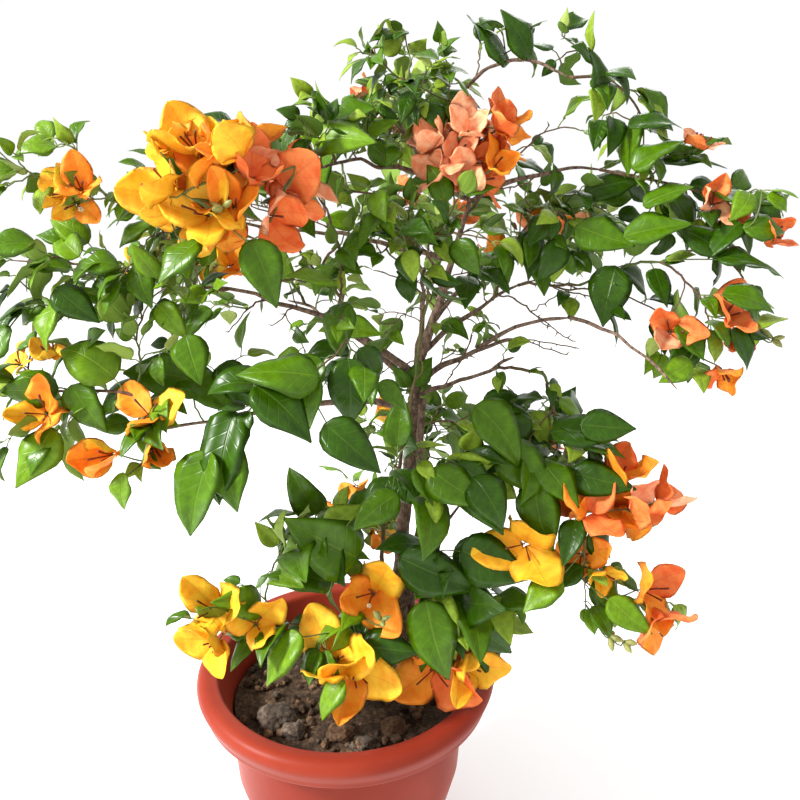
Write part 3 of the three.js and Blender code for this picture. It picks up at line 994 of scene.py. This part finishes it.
def grow(solid, count, habit):
    """Fills a mass with shoots, the nearest to the limbs first."""
    thin = float(min(solid.high - solid.low))
    margin = min(0.1 * thin, 0.12 * habit.size * MM)
    targets = solid.scatter(count, margin)
    targets.sort(key=lambda p: np.min(np.linalg.norm(wood.at[:wood.count] - p, axis=1)))
    for target in targets:
        add_shoot(target, solid, habit)


# Shoots between the masses: limb, number of shoots on it, their reach in mm, their habit
LOOSE = """
bough_left 10 70 44 19 0.4 0.4 1540
bough_left_rise 9 60 40 19 0.3 0.4 2530
bough_cross 12 60 42 18 0.3 0.3 2530
bough_left_low 3 50 58 24 0.7 0.4 4510
bough_top_left 6 50 40 18 0.3 0.4 3520
bough_main 11 65 38 18 0.4 0.3 3520
bough_right_up 4 45 44 20 0.6 0.3 5410
bough_pruned 3 40 36 17 0.6 0.3 5410
stem_front 4 50 52 22 0.7 0.6 5410
trunk 3 60 60 22 0.8 0.4 6310
bough_back 7 60 44 18 0.5 0.4 4510
bough_back_left 8 60 44 18 0.5 0.4 3520
bough_back_right 7 60 46 18 0.6 0.4 4510
"""

# More leafy shoots, each to a place in a node's box: node, place, habit
SPRAYS = """
bough_stub 0.8 0.1 0.7  30 12 0.5 0.3 4510
bough_stub 1.12 0.1 0.72  34 12 0.5 0.3 5500
bough_stub 1.35 0.1 0.5  36 13 0.6 0.3 5500
mass_bloom_left 0.0 0.5 0.5  42 14 0.5 0.5 1540
mass_tip_left 0.95 0.5 0.25  40 14 0.5 0.5 1540
mass_left_outer 0.28 0.4 0.7  50 15 0.6 0.5 1540
mass_left_outer 0.5 0.5 1.05  46 15 0.6 0.5 2530
mass_left_outer 0.85 0.5 0.9  46 15 0.6 0.5 3520
mass_left_bloom_low 0.4 0.6 1.2  46 15 0.6 0.5 3520
mass_left_bloom_low 0.7 0.6 1.1  44 15 0.6 0.5 3520
mass_right_up 0.5 0.4 -0.05  46 15 0.8 0.3 5410
mass_right_low -0.1 0.5 0.62  46 16 0.8 0.3 5410
mass_right_mid 0.5 0.5 -0.25  48 16 0.8 0.3 5410
mass_hang_right 0.15 0.4 0.9  40 15 0.8 0.5 3430
mass_centre_up 0.0 0.6 0.87  40 15 0.6 0.3 3520
mass_centre_up 0.0 0.6 0.5  40 15 0.6 0.3 3520
mass_centre_up 0.2 0.6 0.3  42 15 0.6 0.3 3520
mass_front 0.7 0.7 1.25  44 16 0.6 0.3 3520
mass_bloom_left 0.22 0.3 -0.02  44 15 0.6 0.4 2530
"""

# Limbs that run on through their leaves: limb, places in masses' boxes, habit
LEADERS = (
    ("arch_fall", (("mass_arch_end", (0.3, 0.5, 0.7)), ("mass_arch_end", (0.75, 0.5, 0.3)),
                   ("mass_right_up", (0.25, 0.5, 0.8))), 42, 15, 0.7, 0.3, 6400),
    ("bough_right_up", (("mass_right_up", (0.6, 0.5, 0.6)), ("mass_right_far", (0.6, 0.5, 0.5))),
     48, 17, 0.7, 0.3, 4510),
    ("bough_left", (("mass_left_mid", (0.5, 0.5, 0.6)), ("mass_left_mid", (0.05, 0.5, 0.7))),
     42, 22, 0.5, 0.3, 2530),
    ("bough_left_low", (("mass_left_bloom_low", (0.4, 0.5, 0.7)),
                        ("mass_left_outer", (0.3, 0.5, 0.6))), 46, 26, 0.6, 0.3, 2530),
)


def leader(limb, stops, habit):
    """The leafy stretch of a limb past the end of its CAD solid."""
    root = limb_ends[limb]
    line = [wood.at[root]] + [spot(node, fractions) for node, fractions in stops]
    path, _ = resample(line, np.zeros(len(line)), 5 * MM)
    dress(wood.sprout(path, root, False), None, habit)


def loose_shoots(limb, count, reach, habit):
    """Leafy shoots that stand off a limb, between the masses."""
    path = limb_paths[limb]
    for index in range(count):
        share = 0.25 + 0.75 * (index + rng.random()) / count
        start = path[min(int(share * len(path)), len(path) - 1)]
        way = unit(0.35 * outward_of(start) + 0.3 * UP + rng.normal(size=3))
        add_shoot(start + way * reach * MM * rng.uniform(0.6, 1.1), None, habit)


# limb, number of bare twigs on it, their reach in mm
BARE_TWIGS = """
bough_main 12 80
bough_pruned 7 50
bough_inner 7 55
bough_left 7 60
bough_left_rise 9 50
bough_cross 8 45
trunk 7 75
bough_back 5 60
"""


def bare_twigs(limb, count, reach):
    """Thin leafless twigs with short spurs, as in the shaded middle of the bush."""
    path = limb_paths[limb]
    for index in range(count):
        start = path[int((0.3 + 0.65 * rng.random()) * (len(path) - 1))]
        way = unit(0.6 * outward_of(start) + 0.45 * UP + 0.8 * rng.normal(size=3))
        root = wood.nearest(start + way * reach * MM)
        target = wood.at[root] + way * reach * MM * rng.uniform(0.5, 1.1)
        twig = wood.sprout(shoot_path(root, target, 0.0), root, False)
        for node in twig[2::3]:
            add_thorn(wood.at[node], wood.way[node], square_to(rng.normal(size=3), wood.way[node]))


# The leaves that stand out most: mass, place in its box, blade length in mm, where the tip
# points in degrees from straight down towards +X, tint
KEY_LEAVES = """
left_outer 0.65 0.1 0.4  54 -20 bright
left_bloom_low 0.3 0.1 0.15  32 0 bright
left_hang 0.65 0.3 0.9  70 -8 deep
left_hang 0.4 0.1 0.6  68 -10 mid
left_inner 0.45 0.1 0.0  64 -105 mid
left_inner 0.05 0.2 0.0  48 -60 mid
left_inner 0.3 0.1 0.2  62 70 mid
left_inner 0.62 0.1 0.5  44 25 deep
left_outer 0.2 0.2 0.95  42 -70 bright
left_outer 0.8 0.2 0.75  46 30 mid
left_mid 0.25 0.1 0.95  40 -80 mid
front 0.6 0.2 0.8  62 -108 mid
front 0.22 0.1 0.75  58 58 deep
front 0.62 0.1 0.35  56 52 deep
front 0.75 0.5 0.9  54 5 deep
bloom_left 0.65 0.2 0.05  52 22 mid
bloom_left 0.35 0.2 0.05  42 -45 mid
left_mid 0.8 0.1 0.0  40 20 mid
left_mid 0.3 0.1 0.5  40 50 deep
left_mid 0.1 0.1 0.1  42 -30 mid
low_front 0.05 0.1 0.9  78 72 deep
low_front 0.45 0.2 0.6  80 45 deep
low_front 0.25 0.0 0.65  76 10 mid
low_front 0.5 0.1 0.95  66 80 deep
low_left 0.95 0.2 0.45  84 -125 mid
low_left 0.7 0.1 0.2  66 -100 mid
low_bloom_front 0.65 0.4 0.55  58 95 deep
low_bloom_front 0.55 0.0 0.4  42 -45 bright
low_bloom_front 0.1 0.3 0.8  56 -28 bright
hang_right -0.05 0.2 0.85  44 -50 bright
hang_right 0.3 0.1 0.65  46 40 bright
arch_top 0.4 0.3 0.2  42 -125 deep
arch_top 0.55 0.2 0.3  42 -140 deep
arch_end 0.25 0.3 0.5  38 -165 deep
arch_end 0.55 0.2 0.2  42 105 deep
right_up 0.05 0.2 0.75  42 120 mid
right_up 0.2 0.2 0.45  40 110 mid
right_up 0.0 0.1 0.2  52 100 mid
right_up 0.6 0.1 0.25  46 60 deep
right_mid 0.8 0.1 0.1  52 -15 deep
right_mid 0.45 0.1 0.5  50 60 mid
right_far 0.4 0.2 0.4  38 -40 deep
right_far 0.18 0.1 0.1  40 80 deep
right_far 0.4 0.1 0.35  38 95 mid
right_low 0.38 0.0 0.22  34 -62 bright
right_low 0.55 0.1 0.85  44 85 mid
right_lower 0.1 0.1 1.0  66 58 mid
right_lower 0.55 0.2 0.7  60 98 deep
right_lower 0.25 0.1 0.65  66 42 mid
right_lower 0.65 0.1 0.35  58 75 deep
right_lower 0.45 0.0 0.3  60 8 mid
right_lower 0.7 0.1 0.82  46 85 deep
centre_low 0.45 0.1 0.7  54 48 mid
centre_low 0.2 0.1 0.35  48 -45 mid
top_left 0.3 0.2 0.3  54 85 bright
top 0.2 0.1 0.2  46 -70 mid
"""


def add_key_leaf(place, length, lean, tint):
    """One large leaf at a chosen place, on a stalk from the nearest twig."""
    turn = math.radians(lean)
    way = unit(np.array([math.sin(turn), -0.25, -math.cos(turn)]) + 0.06 * rng.normal(size=3))
    normal = np.array([-0.2, -0.68, 0.7]) + 0.18 * rng.normal(size=3)
    add_stalk(wood.nearest(place), place, -way, 0.5 * MM)
    leaves[tint].add(place, way, normal, random_form(length, LARGE_LEAF))


solids = {name: Solid(name) for name in MASSES}
for limb, count, reach in table(BARE_TWIGS):
    bare_twigs(limb, int(count), reach)
for limb, stops, *habit in LEADERS:
    leader(limb, stops, habit_of(*habit))
for limb, count, reach, *habit in table(LOOSE):
    loose_shoots(limb, int(count), reach, habit_of(*habit))
for name, x, y, z, *habit in table(SPRAYS):
    add_shoot(spot(name, (x, y, z)), None, habit_of(*habit))
for name in MASSES:
    grow(solids[name], *HABITS.get(name.removeprefix("mass_"), BACK_HABIT))


# ------------------------------------------------------------------ blooms

def add_stalk(root, foot, way, radius):
    """A thin stalk from a node of the wood to the foot of a bloom."""
    start = wood.at[root]
    length = np.linalg.norm(foot - start)
    lead = unit(unit(foot - start) + 0.5 * wood.way[root] + 0.3 * UP)
    path = bezier(start, start + lead * length * 0.4, foot - way * length * 0.35, foot, 8)
    add_tube(twigs_green, path, np.linspace(1.3 * radius, radius, 8), 6)


def add_flower(base, way, normal, size):
    """The slender tube of a true flower, which stands on a bract's midrib, and now and then its pale
    star.
    """
    top = base + way * size * rng.uniform(0.42, 0.56) + normal * size * rng.uniform(0.1, 0.18)
    middle = base + way * size * 0.26 + normal * size * 0.07
    path, radii = resample([base + way * size * 0.04, middle, top],
                           np.array([0.45, 0.6, 0.95]) * MM, 1.5 * MM)
    add_tube(flower_tubes, path, radii, 7)
    if rng.random() < 0.12:
        add_star(top, unit(way + 0.3 * normal), 2.4 * MM)


def add_star(centre, facing, reach, count=20):
    """A flower's five-lobed mouth: a dish with the given number of points round its rim."""
    right = square_to(np.array([0.3, 0.2, 0.9]), facing)
    front = np.cross(facing, right)
    ring = []
    for index in range(count):
        angle = index * 2 * math.pi / count
        lobe = reach * (0.55 + 0.45 * abs(math.cos(2.5 * angle)))
        ring.append(centre + lobe * spoke(angle, right, front) + facing * reach * 0.25)
    back = [point - facing * 0.3 * MM for point in ring]
    points = ring + back + [centre, centre - facing * 0.4 * MM]
    faces = []
    for index in range(count):
        after = (index + 1) % count
        faces += [(2 * count, index, after), (2 * count + 1, count + after, count + index)]
        faces.append((index, count + index, count + after, after))
    flower_stars.add(points, faces)


def add_buds(place):
    """Four buds that splay from the end of one stalk."""
    for _ in range(4):
        way = unit(0.4 * outward_of(place) + 0.5 * rng.normal(size=3) + 0.3 * UP)
        size = rng.uniform(9, 14) * MM
        path = np.array([place + way * size * t for t in (0, 0.25, 0.55, 0.8, 1.0)])
        add_tube(buds, path, size * np.array([0.08, 0.17, 0.24, 0.16, 0.03]), 8)
    add_stalk(wood.nearest(place), place, UP, 0.6 * MM)


def add_bloom(centre, facing, size, tint, opening, tubes=3):
    """Three papery bracts round up to three slender flowers, as many as tubes gives, on a stalk from
    the nearest twig.
    """
    axis = unit(facing)
    base = centre - axis * size * 0.4
    right = square_to(np.array([0.21, 0.13, 0.97]), axis)
    front = np.cross(axis, right)
    turn = rng.uniform(0, TURN)
    for index in range(3):
        angle = turn + index * math.radians(120) + rng.normal() * 0.12
        radial = spoke(angle, right, front)
        spread = opening + rng.normal() * 0.14
        way = spoke(spread, axis, radial)
        normal = math.sin(spread) * axis - math.cos(spread) * radial
        length = size * rng.uniform(0.88, 1.1)
        shade = tint
        if tint == "orange" and rng.random() < 0.3:
            shade = "yellow" if centre[0] < AXIS[0] else "salmon"
        # some salmon bracts take the peach tint, partly a painted highlight
        if tint == "salmon" and rng.random() < 0.3:
            shade = "peach"
        bracts[shade].add(base + radial * size * 0.03, way, normal, random_form(length, PAPERY))
        if index < tubes:
            add_flower(base, way, normal, size)
    add_stalk(wood.nearest(base), base + axis * size * 0.05, axis, 0.6 * MM)


def bloom_cluster(mass, count, size, tints, opening=0.55):
    """Blooms that fill a mass and face out from its foot. Their tints run from left to right."""
    solid = solids[mass]
    span = solid.high - solid.low
    heart = solid.centre - UP * 0.5 * span[2]
    for point in solid.scatter(count, 0.12 * size * MM, 30):
        facing = unit(point - heart) + 0.45 * outward_of(point) + 0.25 * rng.normal(size=3)
        across = (point[0] - solid.low[0]) / span[0] * len(tints) + rng.normal() * 0.3
        tint = tints[int(np.clip(across, 0, len(tints) - 1))]
        add_bloom(point, facing, size * MM * rng.uniform(0.85, 1.1), tint, opening,
                  int(rng.integers(3)))


# Clusters: mass, number of blooms, bract length in mm, tints from left to right
CLUSTERS = """
bloom_left 17 37  yellow orange orange salmon salmon
top_bloom 24 27  peach peach salmon orange
bloom_right 8 38  orange orange salmon
back_left 5 36  yellow orange
back_right 4 34  orange salmon
back_top 3 28  salmon orange
back_low_left 2 42  yellow orange
"""

# Single blooms: mass, place in its box, bract length in mm, tint, facing
SINGLES = """
bloom_left 0.3 0.3 0.85  48 yellow  -0.3 -0.6 0.7
bloom_left 0.12 0.2 0.5  48 yellow  -0.6 -0.7 0.3
left_outer 0.5 0.1 0.55  46 orange  -0.3 -0.9 0.5
left_outer 0.2 0.5 0.9  26 yellow  -0.4 -0.5 0.8
left_outer 0.55 0.4 1.0  26 yellow  0.0 -0.5 0.9
left_bloom_low 0.55 0.2 0.7  44 orange  0.0 -0.8 0.7
left_bloom_low 0.68 0.1 0.35  34 orange  0.5 -0.8 0.0
left_bloom_low 0.05 0.2 0.25  42 orange  -0.4 -0.9 0.2
low_bloom_left 0.28 0.3 0.72  58 yellow  -0.3 -0.8 0.5
low_bloom_left 0.36 0.1 0.3  44 yellow  -0.3 -0.9 0.2
low_bloom_left 0.74 0.3 0.5  46 yellow  0.2 -0.8 0.6
low_bloom_front 0.38 0.2 0.55  62 yellow  -0.3 -0.7 0.7
low_bloom_front 0.66 0.1 0.3  56 orange  0.2 -0.9 0.2
low_left 1.02 0.0 0.08  60 orange  -0.3 -0.8 0.35
low_front 0.3 0.05 0.08  58 orange  -0.2 -0.9 0.3
low_front 0.62 0.1 0.1  54 yellow  0.5 -0.8 0.2
bloom_right -0.3 0.1 0.05  60 yellow  -0.3 -0.8 0.4
hang_right 0.72 0.3 0.6  52 orange  0.6 -0.7 0.3
hang_right 0.72 0.2 0.2  48 orange  0.4 -0.8 -0.3
hang_right 0.3 0.3 0.75  28 yellow  0.0 -0.8 -0.2
hang_right 0.12 0.4 1.0  34 orange  -0.2 -0.8 0.3
tip_left 0.68 0.2 0.45  32 orange  0.0 -0.7 0.7
tip_left 0.5 0.4 0.4  32 yellow  -0.5 -0.6 0.6
tip_left 0.62 0.3 0.2  28 orange  0.2 -0.9 0.0
right_far 0.15 0.3 0.6  30 salmon  -0.2 -0.7 0.6
right_far 0.4 0.4 0.42  28 salmon  0.3 -0.7 0.3
right_far 0.85 0.3 0.3  34 salmon  0.7 -0.5 0.3
right_up 0.75 0.3 1.0  27 salmon  0.1 -0.4 0.9
right_low 0.25 0.1 0.5  38 salmon  -0.2 -0.9 0.3
right_low 0.63 0.1 0.72  36 salmon  0.1 -0.7 0.7
right_low 0.72 0.2 0.4  28 orange  0.5 -0.8 0.1
right_low 0.68 0.2 0.0  28 orange  0.1 -0.8 -0.5
back 0.4 0.7 0.7  38 salmon  -0.2 0.8 0.6
back 0.75 0.8 0.4  36 orange  0.4 0.8 0.3
back_low 0.3 0.8 0.5  42 orange  -0.2 0.9 0.3
back_low_right 0.7 0.6 0.5  40 orange  0.7 0.6 0.3
"""

# Groups of buds: mass, place in its box
BUDS = """
right_low 0.95 0.2 0.4
hang_right 0.35 0.2 0.1
hang_right 0.45 0.15 0.05
bloom_left 0.5 0.2 0.3
low_bloom_front 0.9 0.3 0.95
"""
BLOOM_SCALE = 0.84  # a single bloom's size as a share of its row's

for mass, x, y, z, length, lean, tint in table(KEY_LEAVES):
    add_key_leaf(spot("mass_" + mass, (x, y, z)), length * MM, lean, tint)
for mass, count, size, *tints in table(CLUSTERS):
    bloom_cluster("mass_" + mass, count, size, tints)
for mass, x, y, z, size, tint, *facing in table(SINGLES):
    add_bloom(spot("mass_" + mass, (x, y, z)), np.array(facing), size * MM * BLOOM_SCALE, tint,
              rng.uniform(0.5, 0.8))
for mass, x, y, z in table(BUDS):
    add_buds(spot("mass_" + mass, (x, y, z)))


# ------------------------------------------------------------------ twigs and foliage, built

girth = wood.girths()
for shoot, green in zip(wood.shoots, wood.greens):
    root = wood.parent[shoot[0]]
    path = np.concatenate([wood.at[[root]], wood.at[shoot]])
    radii = np.concatenate([girth[shoot[:1]] * 1.15, girth[shoot]])
    radii[-1] *= 0.7
    add_tube(twigs_green if green else twigs_brown, path, radii, 7)

twigs_brown.build(bark_material("twig_bark", rgb(92, 68, 52), rgb(146, 112, 88),
                                rgb(120, 106, 62)), "bark")
for batch, name, colour, rough, scale, depth, slot in (
        (twigs_green, "green_twig", rgb(112, 132, 58), 0.55, 300.0, 0.0004, "green_wood"),
        (stalks, "leaf_stalk", rgb(140, 164, 78), 0.5, 300.0, 0.0003, "green_wood"),
        (thorns, "thorn", rgb(132, 104, 72), 0.6, 300.0, 0.0003, "bark"),
        (flower_tubes, "flower_tube", rgb(128, 52, 22), 0.55, 500.0, 0.0004, "bract"),
        (flower_stars, "flower_star", rgb(250, 236, 190), 0.6, 500.0, 0.0004, "bract"),
        (buds, "flower_bud", rgb(176, 180, 96), 0.5, 500.0, 0.0004, "bract")):
    batch.build(plain_material(name, colour, rough, scale, depth), slot)
for batch in leaves.values():
    batch.build(0.32 * MM, LEAFY)
for batch in bracts.values():
    batch.build(0.22 * MM, BLOOMING)


# ------------------------------------------------------------------ pot and soil

def lathe(name, profile, sides, material, slot, replaces):
    """A closed solid of revolution about Z, from (radius, height) points with ends on the axis."""
    batch = Batch(name)
    inner = profile[1:-1]
    angles = np.arange(sides) * 2 * math.pi / sides
    points = [(r * math.cos(a), r * math.sin(a), z) for r, z in inner for a in angles]
    points += [(0, 0, profile[0][1]), (0, 0, profile[-1][1])]
    batch.add(points, tube_faces(len(inner), sides))
    batch.build(material, slot, replaces)


def arc(centre, radius, start, end, count):
    """Points along an arc, with its ends given in degrees."""
    angles = np.radians(np.linspace(start, end, count))
    return [(centre[0] + radius * math.cos(a), centre[1] + radius * math.sin(a)) for a in angles]


def straight(start, end, count):
    """Points from start up to, but without, end."""
    return [tuple(np.array(start) + (np.array(end) - start) * t / count) for t in range(count)]


def make_pot():
    """The moulded pot. Its profile is in mm."""
    _, high = corners("pot")
    top, rim = high[2] / MM, high[0] / MM
    profile = [(0, 0)]
    # up the outside: the foot, the lower wall, the band and the flare under the rim
    profile += straight((20, 0), (76, 0), 3)
    profile += arc((77, 5), 5, -90, -8, 6)
    profile += straight((83, 8), (114.2, top - 120), 8)
    profile += straight((115, top - 116), (119.6, top - 36), 8)
    profile += arc((125.5, top - 35), 6, 180, 90, 6)
    # over the rolled rim
    profile += arc((rim - 9.2, top - 25), 4, -90, -10, 6)
    profile += straight((rim - 5, top - 23), (rim - 0.2, top - 11.5), 4)
    profile += arc((rim - 10, top - 10), 10, 0, 90, 9)
    profile += straight((rim - 12, top - 0.1), (rim - 17, top - 1), 2)
    profile += arc((rim - 17, top - 6), 5, 90, 160, 5)
    # down the inside to the floor
    profile += straight((rim - 22.5, top - 7), (117.4, top - 33), 5)
    profile += straight((117, top - 36), (111.5, top - 118), 6)
    profile += straight((111, top - 121), (78.5, 4), 5)
    profile += [(60, 4), (0, 4)]
    points = [(r * MM, z * MM) for r, z in profile]
    lathe("pot_body", points, 128, pot_material(), "pot_plastic", ["pot"])


def rough_height(x, y):
    """How far the soil's surface stands above or below its level."""
    coarse = noise.noise(Vector((x * 26, y * 26, 3.1)))
    middle = noise.noise(Vector((x * 75, y * 75, 7.7)))
    fine = noise.noise(Vector((x * 210, y * 210, 1.3)))
    return (3.2 * coarse + 2.6 * middle + 1.5 * fine) * MM


def make_soil():
    """The bed of soil, which is a little lower at the wall. Returns its radius and height."""
    _, high = corners("soil")
    reach, level = high[0], high[2]
    batch = Batch("soil_bed")
    rings, sides = 62, 144
    points, faces = [], []
    for ring in range(1, rings + 1):
        r = reach * ring / rings
        for side in range(sides):
            angle = side * 2 * math.pi / sides
            x, y = r * math.cos(angle), r * math.sin(angle)
            z = level - 2.2 * MM * (r / reach) ** 2 + rough_height(x, y)
            points.append((x, y, z - 1.5 * MM))
    drop = level - 26 * MM
    for side in range(sides):
        angle = side * 2 * math.pi / sides
        points.append((reach * 0.97 * math.cos(angle), reach * 0.97 * math.sin(angle), drop))
    centre, foot = len(points), len(points) + 1
    points += [(0, 0, level + rough_height(0, 0) - 1.5 * MM), (0, 0, drop)]
    for side in range(sides):
        after = (side + 1) % sides
        faces.append((centre, side, after))
        faces.append((foot, rings * sides + after, rings * sides + side))
        for ring in range(rings):
            a, b = ring * sides + side, ring * sides + after
            faces.append((a, a + sides, b + sides, b))
    batch.add(points, faces)
    batch.build(soil_material("soil_dark", rgb(66, 49, 36), rgb(132, 104, 78)), "soil", ["soil"])
    return reach, level


def lump(batch, centre, size, seed, detail):
    """One clod: a ball with broken faces."""
    ball = bmesh.new()
    bmesh.ops.create_icosphere(ball, subdivisions=detail, radius=1.0)
    points = []
    flats = unit(np.random.default_rng(seed).normal(size=(9, 3)))
    for vert in ball.verts:
        way = np.array(vert.co[:])
        cut = min(1.0, float(np.min(0.78 / np.maximum(flats @ way, 0.2))))
        rough = 1 + 0.2 * noise.noise(Vector(way * 1.6 + seed)) + 0.09 * noise.noise(
            Vector(way * 5 + seed)) + 0.04 * noise.noise(Vector(way * 14 + seed))
        points.append(centre + way * np.array(size) * cut * rough)
    batch.add(points, [[v.index for v in face.verts] for face in ball.faces])
    ball.free()


# place as a share of the soil's radius, size in mm, tone
BIG_CLODS = """
-0.58 -0.4 19 grey
-0.42 -0.55 12 grey
-0.02 -0.56 15 tan
0.2 -0.7 10 grey
0.42 -0.5 13 tan
0.05 -0.85 9 tan
-0.15 -0.25 10 dark
0.6 -0.2 9 dark
0.5 0.4 14 tan
-0.4 0.55 13 dark
-0.1 0.7 11 grey
"""
SMALL_CLODS = 340
CLOD_TONES = {"dark": ((74, 54, 40), (122, 94, 70)), "tan": ((112, 82, 58), (178, 142, 108)),
              "grey": ((94, 80, 68), (158, 138, 120))}


def make_clods(reach, level):
    """Clods on the soil, which has the given radius and height."""
    heaps = {tone: Batch("clods_" + tone) for tone in CLOD_TONES}
    for index in range(SMALL_CLODS):
        r, angle = reach * 0.95 * math.sqrt(rng.random()), rng.uniform(0, TURN)
        size = rng.triangular(1.6, 2.5, 8.0) * MM * rng.uniform(0.6, 1.0, 3)
        centre = np.array([r * math.cos(angle), r * math.sin(angle), level - 0.5 * MM])
        tone = ("dark", "dark", "tan", "tan", "tan", "grey")[int(rng.integers(6))]
        lump(heaps[tone], centre, size, index, 3)
    for x, y, size, tone in table(BIG_CLODS):
        centre = np.array([x * reach, y * reach, level + 0.15 * size * MM])
        lump(heaps[tone], centre, np.array([1.0, 0.85, 0.72]) * size * MM, int(size), 5)
    for tone, (dark, light) in CLOD_TONES.items():
        heaps[tone].build(soil_material("clod_" + tone, rgb(*dark), rgb(*light)), "soil")


make_pot()
make_clods(*make_soil())


# ------------------------------------------------------------------ stage, lights and camera

def make_stage():
    mesh = bpy.data.meshes.new("floor")
    half = 30.0
    mesh.from_pydata([(-half, -half, 0), (half, -half, 0), (half, half, 0), (-half, half, 0)],
                     [], [(0, 1, 2, 3)])
    nodes = Nodes("floor_paper")
    mesh.materials.append(nodes.set(Base_Color=(0.97, 0.97, 0.97, 1.0), Roughness=1.0,
                                    Specular_IOR_Level=0.0))
    floor = add_object("floor", mesh)
    world = bpy.data.worlds.new("studio")
    world.use_nodes = True
    background = world.node_tree.nodes["Background"]
    background.inputs[0].default_value = (1.0, 1.0, 1.0, 1.0)
    background.inputs[1].default_value = 1.03
    bpy.context.scene.world = world


def add_lamp(name, place, target, size, power):
    lamp = bpy.data.lights.new(name, "AREA")
    lamp.size = size
    lamp.energy = power
    piece = add_object(name, lamp)
    piece.location = place
    piece.rotation_euler = Vector(target - place).to_track_quat("-Z", "Y").to_euler()


EYE = (0.054, -0.687, 0.757)
LOOKS_DOWN = 18.6  # degrees


def make_camera():
    lens = bpy.data.cameras.new("photo_view")
    lens.lens = 36
    lens.sensor_width = 36
    lens.clip_start = 0.01
    camera = add_object("photo_view", lens)
    camera.location = EYE
    camera.rotation_euler = (math.radians(90 - LOOKS_DOWN), 0, 0)
    bpy.context.scene.camera = camera


make_stage()
middle = (CAD_BOX[0] + CAD_BOX[1]) / 2
add_lamp("key", np.array([-1.9, -0.75, 1.9]), middle, 0.5, 132)
add_lamp("rim", np.array([0.8, 1.6, 1.9]), middle, 1.0, 14)
make_camera()
bpy.context.scene.view_settings.view_transform = "Standard"
